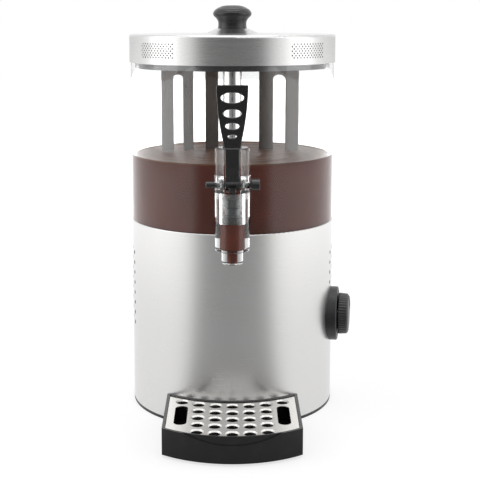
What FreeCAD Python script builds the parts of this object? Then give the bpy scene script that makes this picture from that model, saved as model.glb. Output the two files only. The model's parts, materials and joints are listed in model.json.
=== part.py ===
import FreeCAD, Part
import Sketcher
import math
import os

# A counter-top hot chocolate dispenser. A steel housing holds a gear motor and a ring heater. A clear
# tank stands on it, round a fixed column in which the drive shaft turns a stirring paddle. A clear tap
# with a lever fills a cup that stands on the grille of the drip tray.
#
# Frame: millimetres, +Z up. The origin is on the tank's axis, on the surface the machine stands on.
# The tap and the tray face -Y, and the control dial is on the +X side.

SIZES = [
    # housing
    ("housing_radius", 105.0),
    ("housing_wall", 1.0),
    ("housing_top", 194.4),
    ("hem_width", 1.8),
    ("hem_height", 4.0),
    ("hem_round", 0.85),
    ("vent_radius", 2.1),
    ("vent_start", 86.7),
    ("vent_pitch", 10.6),
    ("vent_rows", 8),
    ("vent_rows_over_dial", 4),
    ("vent_columns", 6),
    ("vent_azimuth", 74.5),
    ("vent_step", 6.5),
    # foot ring and bottom plate
    ("base_lip", 3.0),
    ("ring_inner_radius", 92.0),
    ("ring_seat", 4.0),
    ("ring_upstand", 9.0),
    ("ring_wall", 4.0),
    ("plate_thickness", 1.5),
    ("plate_slot_length", 26.0),
    ("plate_slot_width", 4.0),
    # what hangs between bottom plate and warming dish
    ("rod_radius", 4.5),
    ("rod_circle", 86.0),
    ("screw_radius", 2.0),
    ("screw_head_radius", 3.8),
    ("screw_head_height", 2.4),
    ("screw_length", 12.0),
    ("dish_floor_top", 182.5),
    ("dish_thickness", 0.8),
    ("dish_rim_top", 188.0),
    ("heater_circle", 66.0),
    ("heater_radius", 4.0),
    ("heater_sweep", 335.0),
    ("terminal_radius", 3.0),
    ("terminal_length", 18.0),
    ("cutout_radius", 9.0),
    ("cutout_height", 6.0),
    ("cutout_offset", 40.0),
    ("tab_width", 6.3),
    ("tab_thickness", 0.8),
    ("tab_length", 8.0),
    ("gearbox_length", 76.0),
    ("gearbox_width", 52.0),
    ("gearbox_height", 26.0),
    ("gearbox_top", 110.0),
    ("motor_radius", 27.0),
    ("motor_height", 34.0),
    ("motor_offset", -9.0),
    ("bracket_thickness", 2.0),
    ("bracket_length", 116.0),
    ("bracket_width", 58.0),
    ("standoff_radius", 4.0),
    ("standoff_x", 49.0),
    ("standoff_y", 20.0),
    ("gearbox_screw_x", 30.0),
    ("gearbox_screw_y", 20.0),
    # column, drive shaft and bushings
    ("column_radius", 9.9),
    ("column_wall", 1.4),
    ("column_bottom", 172.0),
    ("column_top", 349.0),
    ("column_flange_radius", 20.0),
    ("column_flange", 3.0),
    ("shaft_radius", 5.0),
    ("shaft_bottom", 133.0),
    ("shaft_square", 6.0),
    ("shaft_square_length", 14.0),
    ("bushing_length", 9.0),
    ("bushing_flange", 2.0),
    ("coupler_radius", 9.0),
    ("coupler_bottom", 118.0),
    ("coupler_length", 30.0),
    ("output_shaft_gap", 2.0),
    ("grub_radius", 1.5),
    ("grub_offset", 6.0),
    # thermostat and control dial
    ("dial_azimuth", 81.0),
    ("dial_height", 93.0),
    ("bezel_radius", 28.0),
    ("bezel_front", 112.5),
    ("bezel_round", 1.6),
    ("bezel_recess_radius", 24.0),
    ("bezel_recess", 0.5),
    ("knob_radius", 21.4),
    ("knob_taper", 0.6),
    ("knob_gap", 0.5),
    ("knob_height", 10.0),
    ("knob_dome", 1.0),
    ("knob_ribs", 40),
    ("knob_rib_depth", 0.5),
    ("knob_pointer_width", 2.0),
    ("spindle_radius", 3.0),
    ("spindle_in_box", 14.0),
    ("spindle_in_knob", 6.0),
    ("thermostat_width", 36.0),
    ("thermostat_height", 30.0),
    ("thermostat_depth", 24.0),
    ("bush_radius", 5.0),
    ("bush_nut_radius", 8.0),
    ("bush_nut_height", 3.0),
    # wiring at the back
    ("terminal_block_length", 34.0),
    ("terminal_block_width", 18.0),
    ("terminal_block_height", 14.0),
    ("terminal_block_y", 60.0),
    ("gland_height", 26.0),
    ("gland_radius", 6.5),
    ("gland_flange_radius", 9.5),
    ("gland_flange", 3.0),
    ("gland_length", 16.0),
    ("gland_bore_radius", 3.6),
    # tank
    ("tank_radius", 104.6),
    ("tank_bore_radius", 101.2),
    ("tank_plug_radius", 102.8),
    ("tank_underside", 184.0),
    ("tank_floor", 3.0),
    ("tank_top", 357.0),
    ("tap_pad_radius", 10.6),
    ("tap_pad_back", 100.0),
    ("tap_pad_front", 106.2),
    ("gasket_inner_radius", 84.0),
    ("gasket_width", 7.0),
    ("column_seal_radius", 13.0),
    ("column_seal_lip", 2.0),
    ("column_seal_height", 6.0),
    ("chocolate_level", 263.0),
    # lid
    ("lid_radius", 106.0),
    ("lid_wall", 1.0),
    ("lid_rim_bottom", 356.0),
    ("lid_rim_top", 384.5),
    ("lid_rim_round", 2.4),
    ("lid_crown", 1.0),
    ("boss_foot_radius", 27.0),
    ("boss_top_radius", 16.5),
    ("boss_top", 390.0),
    ("liner_depth", 6.5),
    ("liner_radius", 100.4),
    ("liner_wall", 0.9),
    ("lid_vent_radius", 0.8),
    ("lid_vent_pitch", 2.15),
    ("lid_vent_spacing", 2.1),
    ("lid_vent_height", 369.4),
    ("lid_vent_columns", 22),
    ("lid_vent_azimuth", 44.65),
    ("lid_knob_foot_radius", 14.85),
    ("lid_knob_waist_radius", 14.2),
    ("lid_knob_waist", 5.0),
    ("lid_knob_flare_radius", 16.0),
    ("lid_knob_radius", 20.1),
    ("lid_knob_edge", 14.0),
    ("lid_knob_shoulder_radius", 18.4),
    ("lid_knob_shoulder", 18.6),
    ("lid_knob_height", 23.7),
    ("lid_screw_radius", 3.0),
    ("lid_screw_length", 14.0),
    ("lid_screw_head_radius", 5.0),
    ("lid_screw_head", 3.5),
    ("lid_washer_radius", 9.0),
    ("lid_washer", 1.2),
    # paddle: places and widths of its hanging tines, from left to right
    ("tine_1_x", -69.5),
    ("tine_1_y", 27.0),
    ("tine_1_width", 12.5),
    ("tine_2_x", -47.5),
    ("tine_2_y", 33.0),
    ("tine_2_width", 10.5),
    ("tine_3_x", -22.2),
    ("tine_3_y", 38.0),
    ("tine_3_width", 13.0),
    ("tine_4_x", 36.5),
    ("tine_4_y", 37.0),
    ("tine_4_width", 14.5),
    ("tine_5_x", 64.2),
    ("tine_5_y", 29.0),
    ("tine_5_width", 14.0),
    ("tine_bottom", 191.0),
    ("tine_thickness", 3.2),
    ("tine_step", 0.4),
    ("bridge_bottom", 346.0),
    ("bridge_top", 360.0),
    ("spoke_width", 12.0),
    ("spoke_bottom", 353.0),
    ("spoke_reach", 40.0),
    ("web_bottom", 333.5),
    ("web_arch_radius", 8.5),
    ("web_arch_height", 341.0),
    ("hub_radius", 15.0),
    ("hub_foot", 351.3),
    ("hub_top", 370.0),
    # tap
    ("tap_reach", 138.0),
    ("tap_radius", 16.1),
    ("tap_bottom", 186.4),
    ("nozzle_radius", 10.0),
    ("nozzle_bottom", 174.1),
    ("nozzle_bore_radius", 3.2),
    ("chamber_radius", 7.7),
    ("chamber_floor", 187.8),
    ("seal_step", 212.5),
    ("plunger_bore_radius", 10.0),
    ("tap_body_top", 242.0),
    ("tap_round", 1.2),
    ("inlet_rise", 21.5),
    ("inlet_radius", 10.0),
    ("spigot_radius", 8.0),
    ("inlet_bore_radius", 5.5),
    ("tap_gasket", 2.0),
    ("tap_gasket_radius", 11.5),
    ("tap_nut_radius", 13.0),
    ("tap_nut", 5.0),
    ("yoke_bottom", 236.0),
    ("yoke_radius", 17.0),
    ("yoke_collar_top", 257.0),
    ("yoke_top", 283.1),
    ("yoke_slot_width", 15.6),
    ("yoke_round", 2.5),
    ("pocket_radius", 8.5),
    ("pocket_width", 23.6),
    # lever, pin and springs
    ("pivot_offset", -4.0),
    ("pivot_height", 249.0),
    ("pin_radius", 3.0),
    ("pin_left", 24.6),
    ("pin_shoulder", 17.4),
    ("pin_head_radius", 5.4),
    ("pin_head_length", 8.0),
    ("lever_width", 13.4),
    ("lever_hub_radius", 5.4),
    ("lever_stem_front", 4.4),
    ("lever_stem_back", 3.2),
    ("grip_bottom", 282.6),
    ("grip_top", 340.5),
    ("grip_width", 29.2),
    ("grip_side_radius", 240.0),
    ("grip_front", 3.2),
    ("grip_thickness", 5.2),
    ("hole_1_height", 328.9),
    ("hole_1_half_width", 10.5),
    ("hole_1_half_height", 4.95),
    ("hole_2_height", 314.6),
    ("hole_2_half_width", 8.5),
    ("hole_2_half_height", 4.0),
    ("hole_3_height", 303.0),
    ("hole_3_half_width", 6.55),
    ("hole_3_half_height", 3.15),
    ("hole_4_height", 293.7),
    ("hole_4_half_width", 4.3),
    ("hole_4_half_height", 1.8),
    ("link_arm", 8.0),
    ("link_angle", 22.5),
    ("link_radius", 1.5),
    ("link_play", 0.12),
    ("link_length", 12.0),
    ("nose_radius", 3.4),
    ("fork_gap", 6.6),
    ("fork_height", 9.0),
    ("fork_web", 0.7),
    ("tongue_width", 6.0),
    ("tongue_front", -0.4),
    ("tongue_length", 7.6),
    ("tongue_top", 249.0),
    ("spring_radius", 6.3),
    ("spring_wire", 1.1),
    ("spring_pitch", 1.7),
    ("spring_turns", 1.5),
    ("spring_inner", 8.6),
    # plunger
    ("plunger_rod_radius", 4.0),
    ("plunger_core_radius", 6.0),
    ("plunger_seal_height", 6.1),
    ("plunger_flange_radius", 9.0),
    ("plunger_flange_top", 220.5),
    ("plunger_neck_radius", 6.7),
    ("plunger_neck_top", 226.5),
    ("plunger_head_radius", 8.8),
    ("plunger_head_top", 235.5),
    ("seat_seal_radius", 6.2),
    ("seat_seal_height", 3.0),
    # drip tray and grille
    ("tray_bottom", 2.5),
    ("tray_top", 28.0),
    ("tray_half_width", 65.0),
    ("tray_front", 197.0),
    ("tray_arc_radius", 108.0),
    ("tray_wall", 2.8),
    ("tray_back_wall", 1.6),
    ("tray_floor", 2.0),
    ("tray_ledge", 1.6),
    ("tray_gap", 0.4),
    ("scoop_radius", 125.0),
    ("scoop_low", 19.5),
    ("scoop_depth", 1.3),
    ("grille_thickness", 0.9),
    ("grille_drop", 0.8),
    ("grille_hole_radius", 5.4),
    ("grille_mouth_radius", 6.7),
    ("grille_mouth_depth", 1.3),
    ("grille_lip_radius", 6.2),
    ("grille_lip_depth", 3.0),
    ("grille_first_row", 116.3),
    ("grille_row_pitch", 17.6),
    ("grille_rows", 5),
    ("grille_column_pitch", 16.3),
    ("grille_columns", 5),
    ("grille_slot_half_width", 6.1),
    ("grille_slot_length", 49.0),
    ("grille_slot_y", 140.5),
    ("tray_pin_radius", 3.0),
    ("tray_pin_x", 40.0),
    ("tray_pin_height", 17.5),
    ("tray_pin_length", 9.0),
    ("tray_boss_radius", 5.6),
    ("tray_boss_length", 11.5),
    # fits
    ("fit", 0.05),
    ("running_fit", 0.05),
    ("loose_fit", 0.3),
]

X_AXIS = FreeCAD.Vector(1, 0, 0)
Y_AXIS = FreeCAD.Vector(0, 1, 0)
Z_AXIS = FreeCAD.Vector(0, 0, 1)

doc = FreeCAD.newDocument("hot_chocolate_dispenser")
sheet = doc.addObject("Spreadsheet::Sheet", "Sizes")
for row, (alias, number) in enumerate(SIZES, start=1):
    sheet.set("A%d" % row, alias.replace("_", " "))
    sheet.set("B%d" % row, str(number))
    sheet.setAlias("B%d" % row, alias)
doc.recompute()

pieces = []


class Size:
    """A number and the sheet formula it comes from, so that what is built from sums stays bound."""

    def __init__(self, number, formula):
        self.number = number
        self.formula = formula

    def __add__(self, other):
        return Size(self.number + number_of(other), "(%s + %s)" % (self.formula, formula_of(other)))

    def __radd__(self, other):
        return Size(number_of(other) + self.number, "(%s + %s)" % (formula_of(other), self.formula))

    def __sub__(self, other):
        return Size(self.number - number_of(other), "(%s - %s)" % (self.formula, formula_of(other)))

    def __rsub__(self, other):
        return Size(number_of(other) - self.number, "(%s - %s)" % (formula_of(other), self.formula))

    def __mul__(self, other):
        return Size(self.number * number_of(other), "(%s * %s)" % (self.formula, formula_of(other)))

    def __rmul__(self, other):
        return self * other

    def __truediv__(self, other):
        return Size(self.number / number_of(other), "(%s / %s)" % (self.formula, formula_of(other)))

    def __neg__(self):
        return Size(-self.number, "(-%s)" % self.formula)


def number_of(value):
    """The plain number of a size or of a number."""
    return value.number if isinstance(value, Size) else float(value)


def formula_of(value):
    """The formula of a size or of a number."""
    return value.formula if isinstance(value, Size) else "(%.9f)" % value


def cosine(angle):
    """The cosine of an angle in degrees, as a size."""
    return Size(math.cos(math.radians(number_of(angle))), "cos(%s * 1 deg)" % formula_of(angle))


def sine(angle):
    """The sine of an angle in degrees, as a size."""
    return Size(math.sin(math.radians(number_of(angle))), "sin(%s * 1 deg)" % formula_of(angle))


def root(value):
    """The square root of a size."""
    return Size(math.sqrt(number_of(value)), "sqrt(%s)" % formula_of(value))


class Sheet:
    """Gives each cell of the sheet as a Size, by its alias."""

    def __getattr__(self, alias):
        return Size(float(sheet.get(alias)), "Sizes." + alias)


size = Sheet()


def bind(thing, prop, value):
    """Binds one property to a size's formula."""
    thing.setExpression(prop, formula_of(value))


def place(thing, x=0, y=0, z=0, turn=None):
    """Puts an object at x, y, z and turns it about that point."""
    if turn is not None:
        thing.Placement = FreeCAD.Placement(FreeCAD.Vector(), turn)
    for axis, value in zip("xyz", (x, y, z)):
        if isinstance(value, Size) or value:
            bind(thing, "Placement.Base." + axis, value)
    return thing


def add(kind, label):
    """A new object of the document with its label."""
    thing = doc.addObject(kind, label)
    thing.Label = label
    return thing


def keep(thing, label=None):
    """Marks an object as a finished piece."""
    if label:
        thing.Label = label
    pieces.append(thing)
    return thing


def cylinder(label, radius, height, x=0, y=0, z=0, turn=None):
    """A round bar along +Z, or along the axis that turn brings +Z to."""
    bar = add("Part::Cylinder", label)
    bind(bar, "Radius", radius)
    bind(bar, "Height", height)
    return place(bar, x, y, z, turn)


def block(label, length, width, height, x=0, y=0, z=0):
    """A box centred on x and y, standing on z."""
    bar = add("Part::Box", label)
    bind(bar, "Length", length)
    bind(bar, "Width", width)
    bind(bar, "Height", height)
    return place(bar, x - length / 2, y - width / 2, z)


def cut(label, base, tools):
    """A base with every tool taken out of it."""
    hole = tools[0]
    if len(tools) > 1:
        hole = add("Part::Compound", label + "_tools")
        hole.Links = tools
    left = add("Part::Cut", label)
    left.Base = base
    left.Tool = hole
    return left


def fuse(label, shapes):
    """Several shapes joined into one solid."""
    joined = add("Part::MultiFuse", label)
    joined.Shapes = shapes
    return joined


def group(label, shapes):
    """Several separate solids under one name."""
    together = add("Part::Compound", label)
    together.Links = shapes
    return together


def formed(label, shape):
    """A piece whose shape is worked out by the calling function."""
    thing = add("Part::Feature", label)
    thing.Shape = shape
    return thing


def plane_of(body, role):
    """One of a body's own origin planes."""
    return [plane for plane in body.Origin.OriginFeatures if plane.Role == role][0]


def new_sketch(body, role, offset=0):
    """An empty sketch on a body's origin plane, moved along the plane's normal."""
    sketch = body.newObject("Sketcher::SketchObject", body.Name + "_sketch")
    sketch.AttachmentSupport = (plane_of(body, role), [""])
    sketch.MapMode = "FlatFace"
    if isinstance(offset, Size) or offset:
        bind(sketch, "AttachmentOffset.Base.z", offset)
    return sketch


def held(sketch, kind, *what):
    """Adds a dimension whose last argument is its value, and binds it."""
    value = what[-1]
    index = sketch.addConstraint(Sketcher.Constraint(kind, *what[:-1], number_of(value)))
    bind(sketch, "Constraints[%d]" % index, value)


def arc_through(start, end, radius):
    """The short arc between two points. Its centre is on the left where the radius is positive."""
    chord = end - start
    left = FreeCAD.Vector(-chord.y, chord.x, 0).normalize()
    rise = math.sqrt(max(radius**2 - (chord.Length / 2) ** 2, 0.0))
    centre = start + chord * 0.5 + left * math.copysign(rise, radius)
    ends = (start, end) if radius > 0 else (end, start)
    angles = [math.atan2(p.y - centre.y, p.x - centre.x) for p in ends]
    if angles[1] < angles[0]:
        angles[1] += 2 * math.pi
    return Part.ArcOfCircle(Part.Circle(centre, Z_AXIS, abs(radius)), *angles)


def draw_outline(sketch, corners):
    """Draws a closed outline. A corner is (x, y), or (x, y, radius) where an arc leads up to it."""
    points = [FreeCAD.Vector(number_of(c[0]), number_of(c[1]), 0) for c in corners]
    first = sketch.GeometryCount
    ends = []
    for index, corner in enumerate(corners):
        after = (index + 1) % len(corners)
        radius = number_of(corners[after][2]) if len(corners[after]) > 2 else 0
        if radius:
            sketch.addGeometry(arc_through(points[index], points[after], radius), False)
        else:
            sketch.addGeometry(Part.LineSegment(points[index], points[after]), False)
        ends.append((2, 1) if radius < 0 else (1, 2))
    for index, corner in enumerate(corners):
        after = (index + 1) % len(corners)
        here, beyond = first + index, first + after
        sketch.addConstraint(Sketcher.Constraint("Coincident", here, ends[index][1], beyond, ends[after][0]))
        held(sketch, "DistanceX", -1, 1, here, ends[index][0], corner[0])
        held(sketch, "DistanceY", -1, 1, here, ends[index][0], corner[1])
        if len(corners[after]) > 2:
            radius = corners[after][2]
            held(sketch, "Radius", here, radius if number_of(radius) > 0 else -radius)


def draw_circle(sketch, x, y, radius):
    """Draws a circle in a sketch."""
    middle = FreeCAD.Vector(number_of(x), number_of(y), 0)
    index = sketch.addGeometry(Part.Circle(middle, Z_AXIS, number_of(radius)), False)
    held(sketch, "DistanceX", -1, 1, index, 3, x)
    held(sketch, "DistanceY", -1, 1, index, 3, y)
    held(sketch, "Radius", index, radius)


def revolved(label, corners):
    """A body turned about Z from an outline given as (radius, height) corners."""
    body = add("PartDesign::Body", label)
    sketch = new_sketch(body, "XZ_Plane")
    draw_outline(sketch, corners)
    turned = body.newObject("PartDesign::Revolution", label + "_revolution")
    turned.Profile = sketch
    turned.ReferenceAxis = (sketch, ["V_Axis"])
    turned.Angle = 360
    sketch.Visibility = False
    return body


def padded(label, role, outlines, height, offset=0, midplane=False):
    """A body padded from closed outlines drawn on one plane; a (x, y, r) triple alone is a circle."""
    body = add("PartDesign::Body", label)
    sketch = new_sketch(body, role, offset)
    for outline in outlines:
        if isinstance(outline, tuple):
            draw_circle(sketch, *outline)
        else:
            draw_outline(sketch, outline)
    pad = body.newObject("PartDesign::Pad", label + "_pad")
    pad.Profile = sketch
    if midplane:
        pad.SideType = "Symmetric"
    bind(pad, "Length", height)
    return body


def azimuth_turn(azimuth):
    """Turns +Z to the level direction at an azimuth from the front towards +X."""
    angle = math.radians(number_of(azimuth))
    return FreeCAD.Rotation(Z_AXIS, FreeCAD.Vector(math.sin(angle), -math.cos(angle), 0))


def screw(label, x, y, z, length, up=True, radius=None, head_radius=None, head=None):
    """A pan head screw whose head sits at z. The shank goes up or down from there."""
    radius = radius or size.screw_radius
    head_radius = head_radius or size.screw_head_radius
    head = head or size.screw_head_height
    if up:
        parts = [
            cylinder(label + "_head", head_radius, head, x, y, z - head),
            cylinder(label + "_shank", radius, length, x, y, z),
        ]
    else:
        parts = [
            cylinder(label + "_head", head_radius, head, x, y, z),
            cylinder(label + "_shank", radius, length, x, y, z - length),
        ]
    return fuse(label, parts)


# Places that several pieces share.

housing_bore = size.housing_radius - size.housing_wall
plate_top = size.ring_seat + size.plate_thickness
plate_radius = housing_bore - size.fit - size.ring_wall - size.fit
dish_underside = size.dish_floor_top - size.dish_thickness
tank_floor_top = size.tank_underside + size.tank_floor
column_bore = size.column_radius - size.column_wall
inlet_back = size.tap_pad_front + size.tap_gasket
inlet_height = size.tank_underside + size.inlet_rise
gearbox_bottom = size.gearbox_top - size.gearbox_height
bracket_top = size.gearbox_top + size.bracket_thickness
shaft_top = size.hub_foot + size.shaft_square_length
link_drop = size.link_arm * sine(size.link_angle)
link_reach = size.link_arm * cosine(size.link_angle)
link_y = size.pivot_offset + link_reach
link_height = size.pivot_height - link_drop
grille_top = size.tray_top - size.grille_drop
grille_underside = grille_top - size.grille_thickness
dial_x = sine(size.dial_azimuth)
dial_y = -cosine(size.dial_azimuth)


def on_dial_axis(distance):
    """The point on the dial's axis at a distance from the machine's axis."""
    return dial_x * distance, dial_y * distance, size.dial_height


def rod_places():
    """The three tie rods, clear of the dial and of the tray pins."""
    return [(size.rod_circle * cosine(a), size.rod_circle * sine(a)) for a in (60, 180, 300)]


def four_places(x, y):
    """The corners of a rectangle about the axis."""
    return [(x, y), (-x, y), (-x, -y), (x, -y)]


def make_base_ring():
    """The black foot ring. Its lip shows under the housing and its upstand holds the housing."""
    upstand_outer = housing_bore - size.fit
    upstand_inner = upstand_outer - size.ring_wall
    ring_top = size.base_lip + size.ring_upstand
    keep(revolved("base_ring", [
        (size.ring_inner_radius, 0),
        (size.housing_radius, 0),
        (size.housing_radius, size.base_lip),
        (upstand_outer, size.base_lip),
        (upstand_outer, ring_top),
        (upstand_inner, ring_top),
        (upstand_inner, size.ring_seat),
        (size.ring_inner_radius, size.ring_seat),
    ]))


def make_bottom_plate():
    """The steel plate that lies in the foot ring, with air slots under the motor."""
    disc = cylinder("bottom_disc", plate_radius, size.plate_thickness, 0, 0, size.ring_seat)
    deep = size.plate_thickness * 3
    low = size.ring_seat - size.plate_thickness
    clear = size.screw_radius + size.loose_fit
    tools = [cylinder("rod_hole_%d" % n, clear, deep, x, y, low) for n, (x, y) in enumerate(rod_places())]
    for n in range(8):
        x = (n - 3.5) * size.plate_slot_width * 2.5
        tools.append(block("air_slot_%d" % n, size.plate_slot_width, size.plate_slot_length, deep, x, 0, low))
    keep(cut("bottom_plate", disc, tools))


def make_housing():
    """The brushed housing: a rolled sheet with a hemmed top edge, side vents and holes for fittings."""
    hem_bore = size.housing_radius - size.hem_width
    hem_bottom = size.housing_top - size.hem_height
    shell = revolved("housing_sheet", [
        (housing_bore, size.base_lip),
        (size.housing_radius, size.base_lip),
        (size.housing_radius, size.housing_top - size.hem_round),
        (size.housing_radius - size.hem_round, size.housing_top, size.hem_round),
        (hem_bore + size.hem_round, size.housing_top),
        (hem_bore, size.housing_top - size.hem_round, size.hem_round),
        (hem_bore, hem_bottom),
        (housing_bore, hem_bottom - (size.hem_width - size.housing_wall)),
    ])
    inside = size.housing_radius - size.housing_wall * 6
    through = size.housing_wall * 8
    tools = []
    for side in (-1, 1):
        over_dial = int(number_of(size.vent_rows - size.vent_rows_over_dial))
        first = over_dial if side > 0 else 0
        for column in range(int(number_of(size.vent_columns))):
            azimuth = side * (size.vent_azimuth + column * size.vent_step)
            lift = column % 3 * size.vent_pitch / 3
            for level in range(first, int(number_of(size.vent_rows))):
                z = size.vent_start + level * size.vent_pitch + lift
                tools.append(cylinder(
                    "vent_%d_%d_%d" % (side, column, level), size.vent_radius, through,
                    sine(azimuth) * inside, -cosine(azimuth) * inside, z, azimuth_turn(azimuth)))
    tools.append(cylinder("bush_hole", size.bush_radius + size.loose_fit, through,
                          dial_x * inside, dial_y * inside, size.dial_height, azimuth_turn(size.dial_azimuth)))
    tools.append(cylinder("gland_hole", size.gland_radius + size.fit, through,
                          0, inside, size.gland_height, azimuth_turn(180)))
    for side in (-1, 1):
        tools.append(cylinder("tray_pin_hole_%d" % side, size.tray_pin_radius + size.fit, size.tray_pin_length * 3,
                              side * size.tray_pin_x, -pin_start(), size.tray_pin_height, azimuth_turn(0)))
    keep(cut("housing_shell", shell, tools))


def pin_start():
    """How far from the axis plane the tray pins begin, inside the housing wall."""
    return root(housing_bore * housing_bore - size.tray_pin_x * size.tray_pin_x) - 4


def make_tray_pins():
    """Two headed steel pins in the housing wall that carry the drip tray."""
    start = pin_start()
    front = root(size.housing_radius * size.housing_radius - size.tray_pin_x * size.tray_pin_x)
    pins = []
    for side in (-1, 1):
        x = side * size.tray_pin_x
        length = front - start + size.tray_pin_length
        shank = cylinder("tray_pin_shank_%d" % side, size.tray_pin_radius, length, x, -start,
                         size.tray_pin_height, azimuth_turn(0))
        collar = cylinder("tray_pin_collar_%d" % side, size.tray_pin_radius * 1.6, 2, x, -start,
                          size.tray_pin_height, azimuth_turn(0))
        pins.append(fuse("tray_pin_%d" % side, [shank, collar]))
    keep(group("tray_pins", pins))


def make_tie_rods():
    """Three rods that tie the bottom plate to the warming dish, and the screws that hold the plate."""
    rods = []
    screws = []
    for n, (x, y) in enumerate(rod_places()):
        rod = cylinder("rod_%d" % n, size.rod_radius, dish_underside - plate_top, x, y, plate_top)
        bore = cylinder("rod_bore_%d" % n, size.screw_radius + size.fit, size.screw_length + 2, x, y, plate_top)
        rods.append(cut("tie_rod_%d" % n, rod, [bore]))
        screws.append(screw("bottom_screw_%d" % n, x, y, size.ring_seat, size.screw_length))
    keep(group("tie_rods", rods))
    keep(group("bottom_screws", screws))


def make_warming_dish():
    """The steel dish under the tank, warmed from below."""
    outer = housing_bore - size.fit
    keep(revolved("warming_dish", [
        (size.column_radius + size.fit, dish_underside),
        (outer, dish_underside),
        (outer, size.dish_rim_top),
        (outer - size.dish_thickness, size.dish_rim_top),
        (outer - size.dish_thickness, size.dish_floor_top),
        (size.column_radius + size.fit, size.dish_floor_top),
    ]))


def make_heater():
    """The ring heater brazed under the dish, with its two terminals, and the thermal cut-out."""
    level = dish_underside - size.heater_radius
    ring = add("Part::Torus", "heater_ring")
    bind(ring, "Radius1", size.heater_circle)
    bind(ring, "Radius2", size.heater_radius)
    bind(ring, "Angle3", size.heater_sweep)
    place(ring, 0, 0, level)
    ends = []
    for n, angle in enumerate((2, size.heater_sweep - 2)):
        ends.append(cylinder(
            "heater_terminal_%d" % n, size.terminal_radius, size.terminal_length,
            size.heater_circle * cosine(angle), size.heater_circle * sine(angle),
            level - size.terminal_length))
    keep(fuse("heating_element", [ring] + ends))
    can = cylinder("cutout_can", size.cutout_radius, size.cutout_height, 0, size.cutout_offset,
                   dish_underside - size.cutout_height)
    tabs = [block("cutout_tab_%d" % side, size.tab_width, size.tab_thickness, size.tab_length + 1,
                  0, size.cutout_offset + side * size.cutout_radius / 2,
                  dish_underside - size.cutout_height - size.tab_length) for side in (-1, 1)]
    keep(fuse("thermal_cutout", [can] + tabs))


def make_motor():
    """The gear motor hung under the dish: bracket, stand-offs, gearbox, motor can and their screws."""
    places = four_places(size.standoff_x, size.standoff_y)
    box_places = four_places(size.gearbox_screw_x, size.gearbox_screw_y)
    sheet_metal = block("bracket_sheet", size.bracket_length, size.bracket_width, size.bracket_thickness,
                        0, 0, size.gearbox_top)
    deep = size.bracket_thickness * 3
    low = size.gearbox_top - size.bracket_thickness
    clear = size.screw_radius + size.loose_fit
    tools = [cylinder("bracket_hole_%d" % n, clear, deep, x, y, low)
             for n, (x, y) in enumerate(places + box_places)]
    tools.append(cylinder("bracket_middle", size.coupler_radius + 2, deep, 0, 0, low))
    keep(cut("motor_bracket", sheet_metal, tools))
    standoffs = []
    for n, (x, y) in enumerate(places):
        post = cylinder("post_%d" % n, size.standoff_radius, dish_underside - bracket_top, x, y, bracket_top)
        bore = cylinder("post_bore_%d" % n, size.screw_radius + size.fit, size.screw_length, x, y, bracket_top)
        standoffs.append(cut("standoff_%d" % n, post, [bore]))
    keep(group("bracket_standoffs", standoffs))
    keep(group("bracket_screws", [
        screw("bracket_screw_%d" % n, x, y, size.gearbox_top, size.screw_length)
        for n, (x, y) in enumerate(places)]))
    case = block("gearbox_case", size.gearbox_length, size.gearbox_width, size.gearbox_height, 0, 0, gearbox_bottom)
    bores = [cylinder("gearbox_bore_%d" % n, size.screw_radius + size.fit, size.screw_length,
                      x, y, size.gearbox_top - size.screw_length) for n, (x, y) in enumerate(box_places)]
    bores.append(cylinder("output_bore", size.shaft_radius + size.running_fit, size.gearbox_height / 2,
                          0, 0, size.gearbox_top - size.gearbox_height / 2))
    keep(cut("gearbox", case, bores))
    keep(group("gearbox_screws", [
        screw("gearbox_screw_%d" % n, x, y, bracket_top, size.screw_length - size.bracket_thickness, up=False)
        for n, (x, y) in enumerate(box_places)]))
    can = cylinder("motor_can", size.motor_radius, size.motor_height, size.motor_offset, 0,
                   gearbox_bottom - size.motor_height)
    boss = cylinder("motor_boss", size.motor_radius / 3, 3, size.motor_offset, 0,
                    gearbox_bottom - size.motor_height - 3)
    keep(fuse("gear_motor", [can, boss]))


def make_column():
    """The polished column that stands in the tank, its two bushings and the seal under the tank."""
    flange_bottom = dish_underside - size.column_flange
    keep(revolved("column_tube", [
        (column_bore, size.column_bottom),
        (size.column_radius, size.column_bottom),
        (size.column_radius, flange_bottom),
        (size.column_flange_radius, flange_bottom),
        (size.column_flange_radius, dish_underside),
        (size.column_radius, dish_underside),
        (size.column_radius, size.column_top),
        (column_bore, size.column_top),
    ]))
    bore = size.shaft_radius + size.running_fit
    sleeve = column_bore - size.fit
    keep(revolved("lower_bushing", [
        (bore, size.column_bottom - size.bushing_flange),
        (size.column_radius, size.column_bottom - size.bushing_flange),
        (size.column_radius, size.column_bottom),
        (sleeve, size.column_bottom),
        (sleeve, size.column_bottom + size.bushing_length),
        (bore, size.column_bottom + size.bushing_length),
    ]))
    keep(revolved("upper_bushing", [
        (bore, size.column_top - size.bushing_length),
        (sleeve, size.column_top - size.bushing_length),
        (sleeve, size.column_top),
        (size.column_radius, size.column_top),
        (size.column_radius, size.column_top + size.bushing_flange),
        (bore, size.column_top + size.bushing_flange),
    ]))
    keep(revolved("tank_gasket", [
        (size.gasket_inner_radius, size.dish_floor_top),
        (size.gasket_inner_radius + size.gasket_width, size.dish_floor_top),
        (size.gasket_inner_radius + size.gasket_width, size.tank_underside),
        (size.gasket_inner_radius, size.tank_underside),
    ]))


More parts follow.
